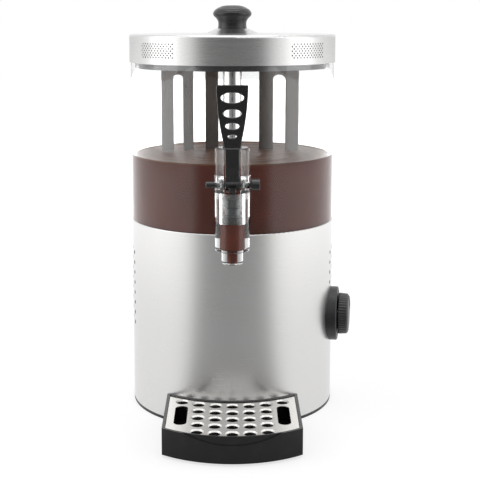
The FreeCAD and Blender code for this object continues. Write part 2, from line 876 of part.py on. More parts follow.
def make_drive():
    """The gearbox's output shaft, the coupler with its grub screws, and the long drive shaft."""
    output_bottom = size.gearbox_top - size.gearbox_height / 2 + 1
    output_top = size.shaft_bottom - size.output_shaft_gap
    keep(cylinder("output_shaft", size.shaft_radius, output_top - output_bottom, 0, 0, output_bottom))
    keep(fuse("drive_shaft", [
        cylinder("shaft_bar", size.shaft_radius, size.hub_foot - size.shaft_bottom, 0, 0, size.shaft_bottom),
        block("shaft_square_end", size.shaft_square, size.shaft_square, size.shaft_square_length + 1,
              0, 0, size.hub_foot - 1),
    ]))
    sleeve = cylinder("coupler_sleeve", size.coupler_radius, size.coupler_length, 0, 0, size.coupler_bottom)
    turn = FreeCAD.Rotation(Z_AXIS, X_AXIS)
    middle = size.coupler_bottom + size.coupler_length / 2
    heights = (middle - size.grub_offset * 1.6, middle + size.grub_offset * 1.6)
    bores = [cylinder("coupler_bore", size.shaft_radius + size.fit, size.coupler_length + 2, 0, 0,
                      size.coupler_bottom - 1)]
    bores += [cylinder("grub_hole_%d" % n, size.grub_radius + size.fit, size.coupler_radius + 1, 0, 0, z, turn)
              for n, z in enumerate(heights)]
    keep(cut("shaft_coupler", sleeve, bores))
    seat = size.shaft_radius + size.fit
    keep(group("coupler_grub_screws", [
        cylinder("grub_%d" % n, size.grub_radius, size.coupler_radius - seat, seat, 0, z, turn)
        for n, z in enumerate(heights)]))


def make_thermostat():
    """The thermostat behind the dial: its box, threaded bush and nut, held to the housing wall."""
    turn = azimuth_turn(size.dial_azimuth)
    wall_inside = root(housing_bore * housing_bore - size.thermostat_width * size.thermostat_width / 4)
    front = wall_inside - size.loose_fit
    box = add("Part::Box", "thermostat_box")
    bind(box, "Length", size.thermostat_depth)
    bind(box, "Width", size.thermostat_width)
    bind(box, "Height", size.thermostat_height)
    angle = number_of(size.dial_azimuth) - 90
    back = front - size.thermostat_depth
    half = size.thermostat_width / 2
    place(box, dial_x * back + dial_y * half, dial_y * back - dial_x * half,
          size.dial_height - size.thermostat_height / 2, FreeCAD.Rotation(Z_AXIS, angle))
    bush_end = size.bezel_front - 2
    bush = cylinder("thermostat_bush", size.bush_radius, bush_end - front + 1, *on_dial_axis(front - 1), turn)
    solid = fuse("thermostat_solid", [box, bush])
    bore_start = size.bezel_front - size.spindle_in_box - size.loose_fit
    bore = cylinder("thermostat_bore", size.spindle_radius + size.running_fit,
                    bush_end - bore_start + 2, *on_dial_axis(bore_start), turn)
    keep(cut("thermostat", solid, [bore]))


def make_bezel():
    """The black bezel round the dial. Its back follows the housing."""
    turn = azimuth_turn(size.dial_azimuth)
    start = size.housing_radius * 0.9
    plug = add("PartDesign::Body", "bezel_disc")
    sketch = new_sketch(plug, "XY_Plane")
    draw_circle(sketch, 0, 0, size.bezel_radius)
    pad = plug.newObject("PartDesign::Pad", "bezel_pad")
    pad.Profile = sketch
    bind(pad, "Length", size.bezel_front - start)
    doc.recompute()
    edge = plug.newObject("PartDesign::Fillet", "bezel_edge")
    edge.Base = (pad, edges_at(pad.Shape, number_of(size.bezel_front - start)))
    bind(edge, "Radius", size.bezel_round)
    place(plug, *on_dial_axis(start), turn)
    inside = cylinder("bezel_back", size.housing_radius + size.fit, size.bezel_radius * 4, 0, 0,
                      size.dial_height - size.bezel_radius * 2)
    recess = cylinder("bezel_recess", size.bezel_recess_radius, size.bezel_recess + 5,
                      *on_dial_axis(size.bezel_front - size.bezel_recess), turn)
    nut_room = cylinder("bezel_nut_room", size.bush_nut_radius + size.loose_fit, size.bezel_front,
                        *on_dial_axis(start), turn)
    keep(cut("control_bezel", plug, [inside, recess, nut_room]))
    nut_seat = size.housing_radius + size.fit
    nut = cylinder("nut_disc", size.bush_nut_radius, size.bush_nut_height, *on_dial_axis(nut_seat), turn)
    nut_bore = cylinder("nut_bore", size.bush_radius + size.fit, size.bezel_front, *on_dial_axis(start), turn)
    keep(cut("thermostat_nut", nut, [nut_bore]))


def edges_at(shape, height):
    """Names of a shape's edges that lie flat at a height."""
    names = []
    for n, edge in enumerate(shape.Edges, start=1):
        box = edge.BoundBox
        if abs(box.ZMin - height) < 0.01 and abs(box.ZMax - height) < 0.01:
            names.append("Edge%d" % n)
    return names


def make_control_knob():
    """The ribbed control knob, modelled upright and then turned onto the dial's axis, and its spindle."""
    turn = azimuth_turn(size.dial_azimuth)
    foot = size.bezel_front + size.knob_gap
    top = size.knob_height - size.knob_dome
    front_radius = size.knob_radius - size.knob_taper
    dome_radius = (front_radius * front_radius / size.knob_dome + size.knob_dome) / 2
    turned = revolved("knob_turned", [
        (0, 0),
        (size.knob_radius, 0),
        (front_radius, top),
        (0, size.knob_height, dome_radius),
    ])
    pointer = block("knob_pointer", size.knob_pointer_width, size.knob_radius * 0.7, size.knob_dome + 1,
                    0, size.knob_radius * 0.55, top - 0.5)
    ribs = int(number_of(size.knob_ribs))
    tools = [cylinder("spindle_socket", size.spindle_radius + size.fit, size.spindle_in_knob)]
    for n in range(ribs):
        angle = n * 360.0 / ribs
        reach = size.knob_radius + size.knob_rib_depth
        tools.append(cylinder("rib_groove_%d" % n, size.knob_rib_depth * 2, size.knob_height * 2,
                              reach * cosine(angle), reach * sine(angle), -1))
    knob = cut("control_knob", fuse("knob_solid", [turned, pointer]), tools)
    keep(place(knob, *on_dial_axis(foot), turn))
    spindle_start = size.bezel_front - size.spindle_in_box
    keep(cylinder("control_spindle", size.spindle_radius, foot + size.spindle_in_knob - spindle_start,
                  *on_dial_axis(spindle_start), turn))


def make_wiring():
    """The terminal block on the bottom plate and the gland in the back wall where a lead goes in."""
    base = block("terminal_base", size.terminal_block_length, size.terminal_block_width,
                 size.terminal_block_height, 0, size.terminal_block_y, plate_top)
    wells = [cylinder("terminal_well_%d" % n, size.screw_head_radius, size.terminal_block_height,
                      (n - 1) * size.terminal_block_length / 3, size.terminal_block_y,
                      plate_top + size.terminal_block_height / 2) for n in range(3)]
    keep(cut("terminal_block", base, wells))
    turn = azimuth_turn(180)
    start = size.housing_radius + size.gland_flange - size.gland_length
    body = cylinder("gland_body", size.gland_radius, size.gland_length, 0, start, size.gland_height, turn)
    flange = cylinder("gland_collar", size.gland_flange_radius, size.gland_flange,
                      0, size.housing_radius + size.fit, size.gland_height, turn)
    bore = cylinder("gland_bore", size.gland_bore_radius, size.gland_length * 2,
                    0, start - 1, size.gland_height, turn)
    keep(cut("cord_gland", fuse("gland_solid", [body, flange]), [bore]))


def make_tank():
    """The clear tank. Its plug stands in the housing's hem and a flat pad on its wall carries the tap."""
    pot = revolved("tank_pot", [
        (size.column_seal_radius, size.tank_underside),
        (size.tank_plug_radius, size.tank_underside),
        (size.tank_plug_radius, size.housing_top),
        (size.tank_radius, size.housing_top),
        (size.tank_radius, size.tank_top),
        (size.tank_bore_radius, size.tank_top),
        (size.tank_bore_radius, tank_floor_top),
        (size.column_seal_radius, tank_floor_top),
    ])
    turn = azimuth_turn(0)
    pad = cylinder("tap_pad", size.tap_pad_radius, size.tap_pad_front - size.tap_pad_back,
                   0, -size.tap_pad_back, inlet_height, turn)
    hole = cylinder("spigot_hole", size.spigot_radius + size.loose_fit, size.tap_pad_front,
                    0, -size.tap_pad_back + size.tap_nut, inlet_height, turn)
    keep(cut("tank", fuse("tank_solid", [pot, pad]), [hole]))
    bore = size.column_radius + size.running_fit
    seal = size.column_seal_radius
    keep(revolved("column_seal", [
        (bore, size.tank_underside),
        (seal - size.fit, size.tank_underside),
        (seal - size.fit, tank_floor_top),
        (seal + size.column_seal_lip, tank_floor_top),
        (seal + size.column_seal_lip, tank_floor_top + size.column_seal_lip),
        (bore + size.column_seal_lip, tank_floor_top + size.column_seal_height),
        (bore, tank_floor_top + size.column_seal_height),
    ]))


def make_lid():
    """The spun steel lid with its four perforated patches, the liner that plugs the tank, and the knob."""
    inner = size.lid_radius - size.lid_wall
    crown = size.lid_rim_top + size.lid_crown
    bore = size.lid_screw_radius + size.loose_fit
    cap = revolved("lid_cap", [
        (inner, size.lid_rim_bottom),
        (size.lid_radius, size.lid_rim_bottom),
        (size.lid_radius, size.lid_rim_top - size.lid_rim_round),
        (size.lid_radius - size.lid_rim_round, size.lid_rim_top, size.lid_rim_round),
        (size.boss_foot_radius, crown),
        (size.boss_top_radius, size.boss_top),
        (bore, size.boss_top),
        (bore, size.boss_top - size.lid_wall),
        (size.boss_top_radius, size.boss_top - size.lid_wall),
        (size.boss_foot_radius, crown - size.lid_wall),
        (size.lid_radius - size.lid_rim_round, size.lid_rim_top - size.lid_wall),
        (inner, size.lid_rim_top - size.lid_rim_round, size.lid_wall - size.lid_rim_round),
    ])
    columns = int(number_of(size.lid_vent_columns))
    inside = number_of(inner) - 1
    punch = Part.makeCylinder(number_of(size.lid_vent_radius), number_of(size.lid_wall) + 2)
    step = math.degrees(number_of(size.lid_vent_spacing / size.lid_radius))
    holes = []
    for patch in (1, -1, 3, -3):
        for column in range(columns):
            azimuth = patch * number_of(size.lid_vent_azimuth) + (column - (columns - 1) / 2) * step
            angle = math.radians(azimuth)
            levels = (-3, -1, 1, 3) if column % 2 else (-2, 0, 2)
            for level in levels:
                z = number_of(size.lid_vent_height + level * size.lid_vent_pitch)
                at = FreeCAD.Vector(inside * math.sin(angle), -inside * math.cos(angle), z)
                holes.append(punch.transformed(FreeCAD.Placement(at, azimuth_turn(azimuth)).toMatrix()))
    keep(cut("lid", cap, [formed("lid_holes", Part.makeCompound(holes))]))
    liner_bore = size.liner_radius - size.liner_wall
    keep(revolved("lid_liner", [
        (liner_bore, size.tank_top - size.liner_depth),
        (size.liner_radius, size.tank_top - size.liner_depth),
        (size.liner_radius, size.tank_top),
        (inner - size.fit, size.tank_top),
        (inner - size.fit, size.tank_top + size.liner_wall),
        (liner_bore, size.tank_top + size.liner_wall),
    ]))
    rise = size.lid_knob_height - size.lid_knob_shoulder
    dome = (size.lid_knob_shoulder_radius * size.lid_knob_shoulder_radius / rise + rise) / 2
    knob_bore = size.lid_screw_radius + size.fit
    knob_depth = size.lid_screw_length - size.lid_washer
    keep(place(revolved("lid_knob", [
        (knob_bore, 0),
        (size.lid_knob_foot_radius, 0),
        (size.lid_knob_waist_radius, size.lid_knob_waist),
        (size.lid_knob_radius, size.lid_knob_edge, -size.lid_knob_flare_radius),
        (size.lid_knob_shoulder_radius, size.lid_knob_shoulder, size.lid_knob_shoulder - size.lid_knob_edge),
        (0, size.lid_knob_height, dome),
        (0, knob_depth),
        (knob_bore, knob_depth),
    ]), 0, 0, size.boss_top))
    washer_top = size.boss_top - size.lid_wall
    disc = cylinder("washer_disc", size.lid_washer_radius, size.lid_washer, 0, 0, washer_top - size.lid_washer)
    keep(cut("lid_washer", disc, [cylinder("washer_bore", bore, size.lid_washer * 3, 0, 0,
                                           washer_top - size.lid_washer * 2)]))
    keep(screw("lid_screw", 0, 0, washer_top - size.lid_washer, size.lid_screw_length, True,
               size.lid_screw_radius, size.lid_screw_head_radius, size.lid_screw_head))


def tine(number):
    """Place and width of one hanging tine."""
    names = ("tine_%d_x", "tine_%d_y", "tine_%d_width")
    return [getattr(size, name % number) for name in names]


def bar_between(label, start, end, thickness, low, high):
    """An upright bar from one point to another."""
    across = (end[0] - start[0], end[1] - start[1])
    angle = math.atan2(number_of(across[1]), number_of(across[0]))
    bar = add("Part::Box", label)
    bind(bar, "Length", root(across[0] * across[0] + across[1] * across[1]))
    bind(bar, "Width", thickness)
    bind(bar, "Height", high - low)
    return place(bar, start[0] + thickness / 2 * math.sin(angle), start[1] - thickness / 2 * math.cos(angle),
                 low, FreeCAD.Rotation(Z_AXIS, math.degrees(angle)))


def tine_bar(label, number, spare, low, high):
    """One tine, along the line between its neighbours, grown by spare on every side."""
    x, y, width = tine(number)
    before = tine(max(number - 1, 1))
    after = tine(min(number + 1, 5))
    angle = math.atan2(number_of(after[1] - before[1]), number_of(after[0] - before[0]))
    half = width / 2 + spare
    start = (x - half * math.cos(angle), y - half * math.sin(angle))
    end = (x + half * math.cos(angle), y + half * math.sin(angle))
    return bar_between(label, start, end, size.tine_thickness + 2 * spare, low, high)


def make_paddle():
    """The stirring paddle: a hub on the shaft's square end, a spoke, a bridge and five hanging tines."""
    middle = (size.spoke_width * 0, size.spoke_reach)
    stops = [tine(1), tine(2), tine(3), middle, tine(4), tine(5)]
    path = Part.makePolygon([FreeCAD.Vector(number_of(x), number_of(y), 0) for x, y, *_ in stops])
    plan = formed("bridge_plan", path.makeOffset2D(number_of(size.tine_thickness / 2), 0, True, False, False))
    bridge = add("Part::Extrusion", "bridge")
    bridge.Base = plan
    bridge.DirMode = "Custom"
    bridge.Dir = Z_AXIS
    bridge.Solid = True
    bind(bridge, "LengthFwd", size.bridge_top - size.bridge_bottom)
    place(bridge, 0, 0, size.bridge_bottom)
    step = size.tine_step
    parts = [cylinder("paddle_hub", size.hub_radius, size.hub_top - size.hub_foot, 0, 0, size.hub_foot), bridge]
    for number in range(1, 6):
        parts.append(tine_bar("tine_%d" % number, number, step, size.tine_bottom, size.bridge_top - step))
    parts.append(block("spoke", size.spoke_width, size.spoke_reach, size.bridge_top - size.spoke_bottom,
                       0, size.spoke_reach / 2, size.spoke_bottom + step))
    for number in (1, 4):
        here, beyond = tine(number), tine(number + 1)
        web = bar_between("web_%d" % number, here, beyond, size.tine_thickness - step,
                          size.web_bottom, size.bridge_bottom + step)
        angle = math.atan2(number_of(beyond[1] - here[1]), number_of(beyond[0] - here[0]))
        sideways = FreeCAD.Vector(math.sin(angle), -math.cos(angle), 0)
        reach = size.tine_thickness * 3
        arch = cylinder("web_arch_%d" % number, size.web_arch_radius, reach * 2,
                        (here[0] + beyond[0]) / 2 - reach * math.sin(angle),
                        (here[1] + beyond[1]) / 2 + reach * math.cos(angle),
                        size.web_arch_height - size.web_arch_radius, FreeCAD.Rotation(Z_AXIS, sideways))
        parts.append(cut("arched_web_%d" % number, web, [arch]))
    socket = size.shaft_square + 2 * size.fit
    sockets = [block("paddle_socket", socket, socket, shaft_top - size.hub_foot + size.loose_fit + 1,
                     0, 0, size.hub_foot - 1)]
    keep(cut("paddle", fuse("paddle_solid", parts), sockets))


def make_tap_body():
    """The clear tap body: nozzle, chamber and plunger bore in one, with the inlet that passes the tank wall."""
    outer = revolved("tap_outside", [
        (0, size.nozzle_bottom),
        (size.nozzle_radius - size.tap_round, size.nozzle_bottom),
        (size.nozzle_radius, size.nozzle_bottom + size.tap_round, size.tap_round),
        (size.nozzle_radius, size.tap_bottom),
        (size.tap_radius - size.tap_round, size.tap_bottom),
        (size.tap_radius, size.tap_bottom + size.tap_round, size.tap_round),
        (size.tap_radius, size.tap_body_top),
        (0, size.tap_body_top),
    ])
    inside = revolved("tap_inside", [
        (0, size.nozzle_bottom - 1),
        (size.nozzle_bore_radius, size.nozzle_bottom - 1),
        (size.nozzle_bore_radius, size.chamber_floor),
        (size.chamber_radius, size.chamber_floor),
        (size.chamber_radius, size.seal_step),
        (size.plunger_bore_radius, size.seal_step),
        (size.plunger_bore_radius, size.tap_body_top + 1),
        (0, size.tap_body_top + 1),
    ])
    back = azimuth_turn(180)
    seat = size.tap_reach - inlet_back
    boss = cylinder("inlet_boss", size.inlet_radius, seat, 0, 0, inlet_height, back)
    spigot_end = size.tap_reach - size.tap_pad_back + size.tap_nut + 1
    spigot = cylinder("inlet_spigot", size.spigot_radius, spigot_end, 0, 0, inlet_height, back)
    bore = cylinder("inlet_bore", size.inlet_bore_radius, spigot_end + 1, 0, 0, inlet_height, back)
    body = cut("tap_body", fuse("tap_solid", [outer, boss, spigot]), [inside, bore])
    keep(place(body, 0, -size.tap_reach, 0))
    gasket = cylinder("gasket_disc", size.tap_gasket_radius, size.tap_gasket,
                      0, -inlet_back, inlet_height, back)
    gasket_bore = cylinder("gasket_bore", size.spigot_radius + size.fit, size.tap_gasket * 3,
                           0, -inlet_back - size.tap_gasket, inlet_height, back)
    keep(cut("tap_gasket", gasket, [gasket_bore]))
    nut = add("Part::Prism", "nut_hexagon")
    nut.Polygon = 6
    bind(nut, "Circumradius", size.tap_nut_radius)
    bind(nut, "Height", size.tap_nut)
    place(nut, 0, -size.tap_pad_back, inlet_height, back)
    nut_bore = cylinder("nut_hole", size.spigot_radius + size.fit, size.tap_nut * 3,
                        0, -size.tap_pad_back - size.tap_nut, inlet_height, back)
    keep(cut("tap_nut", nut, [nut_bore]))


def make_yoke():
    """The clear yoke on the tap body: a collar and two ears with round pockets for the lever's springs."""
    collar = cylinder("yoke_collar", size.yoke_radius, size.yoke_collar_top - size.yoke_bottom,
                      0, 0, size.yoke_bottom)
    ears = revolved("yoke_ears", [
        (0, size.yoke_collar_top - 1),
        (size.tap_radius, size.yoke_collar_top - 1),
        (size.tap_radius, size.yoke_top - size.yoke_round),
        (size.tap_radius - size.yoke_round, size.yoke_top, size.yoke_round),
        (0, size.yoke_top),
    ])
    along_x = FreeCAD.Rotation(Z_AXIS, X_AXIS)
    room = cylinder("yoke_room", size.tap_radius + size.fit, size.tap_body_top - size.yoke_bottom + 1,
                    0, 0, size.yoke_bottom - 1)
    slot = block("yoke_slot", size.yoke_slot_width, size.yoke_radius * 3, size.yoke_top,
                 0, 0, size.tap_body_top - 0.5)
    round_pocket = cylinder("pocket_round", size.pocket_radius, size.pocket_width,
                            -size.pocket_width / 2, size.pivot_offset, size.pivot_height, along_x)
    above = block("pocket_limit", size.pocket_width, size.yoke_radius * 3, size.yoke_top, 0, 0, size.tap_body_top)
    pocket = add("Part::Common", "spring_pocket")
    pocket.Base = round_pocket
    pocket.Tool = above
    pin_hole = cylinder("yoke_pin_hole", size.pin_radius + size.fit, size.yoke_radius * 4,
                        -size.yoke_radius * 2, size.pivot_offset, size.pivot_height, along_x)
    yoke = cut("tap_yoke", fuse("yoke_solid", [collar, ears]), [room, slot, pocket, pin_hole])
    keep(place(yoke, 0, -size.tap_reach, 0))


def make_lever():
    """The lever: a holed grip, a stem, and a forked tail whose link pin lifts the plunger."""
    along_x = FreeCAD.Rotation(Z_AXIS, X_AXIS)
    half = size.lever_width / 2
    pivot = size.pivot_offset
    stem = block("lever_stem", size.lever_width, size.lever_stem_front + size.lever_stem_back,
                 size.grip_bottom - size.pivot_height, 0,
                 pivot + (size.lever_stem_back - size.lever_stem_front) / 2, size.pivot_height)
    hub = cylinder("lever_hub", size.lever_hub_radius, size.lever_width, -half, pivot,
                   size.pivot_height, along_x)
    nose = cylinder("lever_nose", size.nose_radius, size.lever_width, -half, link_y, link_height, along_x)
    arm = add("Part::Box", "lever_arm")
    bind(arm, "Length", size.lever_width)
    bind(arm, "Width", size.link_arm)
    bind(arm, "Height", size.nose_radius * 2)
    slope = number_of(size.link_angle)
    place(arm, -half, pivot - size.nose_radius * sine(size.link_angle),
          size.pivot_height - size.nose_radius * cosine(size.link_angle), FreeCAD.Rotation(X_AXIS, -slope))
    grip = padded("lever_grip", "XZ_Plane", [[
        (-half, size.grip_bottom - 1, size.grip_side_radius),
        (half, size.grip_bottom - 1),
        (size.grip_width / 2, size.grip_top, size.grip_side_radius),
        (-size.grip_width / 2, size.grip_top),
    ]], size.grip_thickness, size.grip_front - pivot - size.grip_thickness)
    holes = []
    for n in range(1, 5):
        oval = add("Part::Ellipse", "oval_%d" % n)
        bind(oval, "MajorRadius", getattr(size, "hole_%d_half_width" % n))
        bind(oval, "MinorRadius", getattr(size, "hole_%d_half_height" % n))
        place(oval, 0, pivot - size.grip_front * 3, getattr(size, "hole_%d_height" % n),
              FreeCAD.Rotation(X_AXIS, 90))
        punch = add("Part::Extrusion", "oval_punch_%d" % n)
        punch.Base = oval
        punch.DirMode = "Custom"
        punch.Dir = Y_AXIS
        punch.Solid = True
        bind(punch, "LengthFwd", size.grip_thickness * 5)
        holes.append(punch)
    fork = block("lever_fork", size.fork_gap, size.link_arm * 4, size.lever_hub_radius * 2, 0, pivot,
                 size.pivot_height - size.lever_hub_radius * 2)
    fork_back = block("lever_fork_back", size.fork_gap, size.link_arm * 2, size.fork_height, 0,
                      pivot + size.fork_web + size.link_arm, size.pivot_height)
    pivot_bore = cylinder("lever_bore", size.pin_radius + size.running_fit, size.lever_width * 2,
                          -size.lever_width, pivot, size.pivot_height, along_x)
    link_bore = cylinder("link_bore", size.link_radius + size.fit, size.lever_width * 2,
                         -size.lever_width, link_y, link_height, along_x)
    solid = fuse("lever_solid", [stem, hub, nose, arm, grip])
    lever = cut("tap_lever", solid, holes + [fork, fork_back, pivot_bore, link_bore])
    keep(place(lever, 0, -size.tap_reach, 0))
    keep(cylinder("link_pin", size.link_radius, size.link_length, -size.link_length / 2,
                  link_y - size.tap_reach, link_height, along_x))
    head_end = size.pin_shoulder + size.pin_head_length
    bevel = size.pin_radius / 4
    pin = revolved("pivot_pin", [
        (0, -size.pin_left),
        (size.pin_radius - bevel, -size.pin_left),
        (size.pin_radius, bevel - size.pin_left),
        (size.pin_radius, size.pin_shoulder),
        (size.pin_head_radius, size.pin_shoulder),
        (size.pin_head_radius, head_end - bevel),
        (size.pin_head_radius - bevel, head_end, bevel),
        (0, head_end),
    ])
    keep(place(pin, 0, pivot - size.tap_reach, size.pivot_height, along_x))


def biarc(start, start_way, end, end_way):
    """Two tangent arcs from one point and direction to another, as edges."""
    chord = end - start
    ways = start_way + end_way
    spread = 2 * (1 - start_way.dot(end_way))
    reach = (math.sqrt(chord.dot(ways) ** 2 + spread * chord.dot(chord)) - chord.dot(ways)) / spread
    corners = (start + start_way * reach, end - end_way * reach)
    middle = (corners[0] + corners[1]) * 0.5
    edges = []
    for first, corner, last in ((start, corners[0], middle), (middle, corners[1], end)):
        foot = (first + last) * 0.5
        half = (last - first).Length / 2
        tilt = math.atan2((corner - foot).Length, half)
        crest = foot + (corner - foot).normalize() * (half * math.tan(tilt / 2))
        edges.append(Part.Arc(first, crest, last).toShape())
    return edges


def coil(radius, pitch, turns, wire):
    """A coil along +Z made of a biarc for each quarter turn, with round wire."""
    def at(angle):
        return FreeCAD.Vector(radius * math.cos(angle), radius * math.sin(angle), pitch * angle / (2 * math.pi))

    def way(angle):
        return FreeCAD.Vector(-radius * math.sin(angle), radius * math.cos(angle), pitch / (2 * math.pi)).normalize()

    quarters = int(round(turns * 4))
    edges = []
    for n in range(quarters):
        low, high = n * math.pi / 2, (n + 1) * math.pi / 2
        edges += biarc(at(low), way(low), at(high), way(high))
    path = Part.Wire(edges)
    section = Part.Wire([Part.Circle(at(0), way(0), wire / 2).toShape()])
    solid = path.makePipeShell([section], True, False)
    points = [at(n * math.pi / 16) for n in range(quarters * 8 + 1)]
    gaps = [(a - b).Length - wire for n, a in enumerate(points) for b in points[n + 16:]]
    print("spring: least gap between turns %.2f mm" % min(gaps))
    return solid


def make_springs():
    """The two return springs of the lever, one coil in each ear's pocket, round the pivot pin."""
    values = [number_of(v) for v in (size.spring_radius, size.spring_pitch, size.spring_turns, size.spring_wire)]
    shape = coil(*values)
    middle = (number_of(size.pivot_offset - size.tap_reach), number_of(size.pivot_height))
    both = []
    for side in (-1, 1):
        at = FreeCAD.Vector(side * number_of(size.spring_inner), *middle)
        turn = FreeCAD.Rotation(Z_AXIS, X_AXIS * side)
        both.append(shape.transformed(FreeCAD.Placement(at, turn).toMatrix()))
    keep(formed("lever_springs", Part.makeCompound(both)))


def make_plunger():
    """The plunger that the lever lifts, its sliding seal and the rubber tip that closes the nozzle."""
    tip_top = size.chamber_floor + size.seat_seal_height
    seal_bottom = size.seal_step + 0.2
    seal_top = seal_bottom + size.plunger_seal_height
    turned = revolved("plunger_turned", [
        (0, tip_top),
        (size.plunger_rod_radius, tip_top),
        (size.plunger_rod_radius, seal_bottom),
        (size.plunger_core_radius, seal_bottom),
        (size.plunger_core_radius, seal_top),
        (size.plunger_flange_radius, seal_top),
        (size.plunger_flange_radius, size.plunger_flange_top),
        (size.plunger_neck_radius, size.plunger_flange_top),
        (size.plunger_neck_radius, size.plunger_neck_top),
        (size.plunger_head_radius, size.plunger_neck_top + size.plunger_head_radius - size.plunger_neck_radius),
        (size.plunger_head_radius, size.plunger_head_top),
        (0, size.plunger_head_top),
    ])
    tongue = block("plunger_tongue", size.tongue_width, size.tongue_length,
                   size.tongue_top - size.plunger_head_top + 1, 0,
                   size.tongue_front + size.tongue_length / 2, size.plunger_head_top - 1)
    grip_radius = size.link_radius + size.link_play
    slot_front = link_y - grip_radius
    slot_back = size.pivot_offset + size.link_arm + grip_radius
    slot = block("tongue_slot", size.tongue_width * 2, slot_back - slot_front, grip_radius * 2,
                 0, (slot_front + slot_back) / 2, link_height - grip_radius)
    plunger = cut("plunger", fuse("plunger_solid", [turned, tongue]), [slot])
    keep(place(plunger, 0, -size.tap_reach, 0))
    outer = size.plunger_bore_radius - size.running_fit
    inner = size.plunger_core_radius + size.fit
    lip = size.plunger_seal_height / 6
    keep(place(revolved("plunger_seal", [
        (inner, seal_bottom),
        (outer - lip, seal_bottom),
        (outer, seal_bottom + lip),
        (outer, seal_top - lip),
        (outer - lip, seal_top),
        (inner, seal_top),
    ]), 0, -size.tap_reach, 0))
    keep(cylinder("seat_seal", size.seat_seal_radius, size.seat_seal_height,
                  0, -size.tap_reach, size.chamber_floor))


def tray_outline(inset, back_radius):
    """The tray's plan: straight sides, a back that follows the housing and a bowed front."""
    half = size.tray_half_width - inset
    bow = size.tray_arc_radius - inset
    back = -root(back_radius * back_radius - half * half)
    front = size.tray_arc_radius - size.tray_front - root(bow * bow - half * half)
    return [(half, back), (-half, back, -back_radius), (-half, front), (half, front, bow)]


def make_tray():
    """The black drip tray, with a ledge for the grille, sockets for the pins and a finger recess in front."""
    back = size.housing_radius + size.tray_gap
    wall_back = back + size.tray_back_wall
    height = size.tray_top - size.tray_bottom
    floor = size.tray_bottom + size.tray_floor
    block_out = padded("tray_block", "XY_Plane", [tray_outline(0 * size.fit, back)], height, size.tray_bottom)
    mouth = padded("tray_mouth", "XY_Plane", [tray_outline(size.tray_wall, wall_back)],
                   size.tray_top, grille_underside)
    basin = padded("tray_basin", "XY_Plane",
                   [tray_outline(size.tray_wall + size.tray_ledge, wall_back + size.tray_ledge)],
                   size.tray_top, floor)
    scoop = cylinder("scoop_round", size.scoop_radius, size.tray_front * 2, 0, 0,
                     size.scoop_low + size.scoop_radius, azimuth_turn(0))
    core = cylinder("scoop_core", size.tray_arc_radius - size.scoop_depth, size.tray_top * 20,
                    0, size.tray_arc_radius - size.tray_front, -size.tray_top * 5)
    recess = add("Part::Cut", "scoop")
    recess.Base = scoop
    recess.Tool = core
    shell = cut("tray_shell", block_out, [mouth, basin])
    shell = cut("tray_scooped", shell, [recess])
    turn = azimuth_turn(0)
    face = root(back * back - size.tray_pin_x * size.tray_pin_x)
    bosses = []
    bores = []
    body_room = cylinder("tray_body_room", back, size.tray_top * 2, 0, 0, 0)
    for side in (-1, 1):
        x = side * size.tray_pin_x
        boss = cylinder("boss_round_%d" % side, size.tray_boss_radius, size.tray_boss_length,
                        x, -face - size.tray_back_wall / 2, size.tray_pin_height, turn)
        bosses.append(cut("tray_boss_%d" % side, boss, [body_room]))
        bores.append(cylinder("tray_bore_%d" % side, size.tray_pin_radius + size.loose_fit,
                              size.tray_pin_length + 11, x, -face + 10, size.tray_pin_height, turn))
    keep(cut("drip_tray", fuse("tray_with_bosses", [shell] + bosses), bores))


def hole_places():
    """Centres of the grille's round holes. Each row is an arc like the tray's front."""
    rows = int(number_of(size.grille_rows))
    columns = int(number_of(size.grille_columns))
    places = []
    for row in range(rows):
        for column in range(columns):
            places.append((row, (column - (columns - 1) / 2) * size.grille_column_pitch))
    for side in (-1, 1):
        places.append((0, side * (columns + 1) / 2 * size.grille_column_pitch))
    bow = size.tray_arc_radius
    return [(x, bow - size.grille_first_row - row * size.grille_row_pitch - root(bow * bow - x * x))
            for row, x in places]


def make_grille():
    """The steel grille: five bowed rows of drawn holes and an oblong opening on each side."""
    gap = size.tray_gap
    wall_back = size.housing_radius + size.tray_gap + size.tray_back_wall
    sheet_metal = padded("grille_sheet", "XY_Plane", [tray_outline(size.tray_wall + gap, wall_back + gap)],
                         size.grille_thickness, grille_underside)
    depth = size.grille_lip_depth
    lips = []
    tools = []
    for n, (x, y) in enumerate(hole_places()):
        lips.append(cylinder("lip_%d" % n, size.grille_lip_radius, depth, x, y, grille_top - depth))
        tools.append(cylinder("hole_%d" % n, size.grille_hole_radius, depth * 3, x, y, grille_top - depth * 2))
        mouth = add("Part::Cone", "mouth_%d" % n)
        bind(mouth, "Radius1", size.grille_hole_radius)
        bind(mouth, "Radius2", size.grille_mouth_radius)
        bind(mouth, "Height", size.grille_mouth_depth)
        tools.append(place(mouth, x, y, grille_top - size.grille_mouth_depth))
    room = padded("lip_room", "XY_Plane",
                  [tray_outline(size.tray_wall + size.tray_ledge + gap, wall_back + size.tray_ledge + gap)],
                  depth * 2, grille_top - depth * 2)
    kept_lips = add("Part::Common", "lips_in_basin")
    kept_lips.Base = group("all_lips", lips)
    kept_lips.Tool = room
    columns = int(number_of(size.grille_columns))
    straight = size.grille_slot_length - 2 * size.grille_slot_half_width
    for side in (-1, 1):
        x = side * (columns + 1) / 2 * size.grille_column_pitch
        tools.append(block("slot_%d" % side, size.grille_slot_half_width * 2, straight, size.tray_top,
                           x, -size.grille_slot_y, size.tray_top / 2))
        for end in (-1, 1):
            tools.append(cylinder("slot_end_%d_%d" % (side, end), size.grille_slot_half_width, size.tray_top,
                                  x, end * straight / 2 - size.grille_slot_y, size.tray_top / 2))
    keep(cut("drip_grille", fuse("grille_solid", [sheet_metal, kept_lips]), tools))


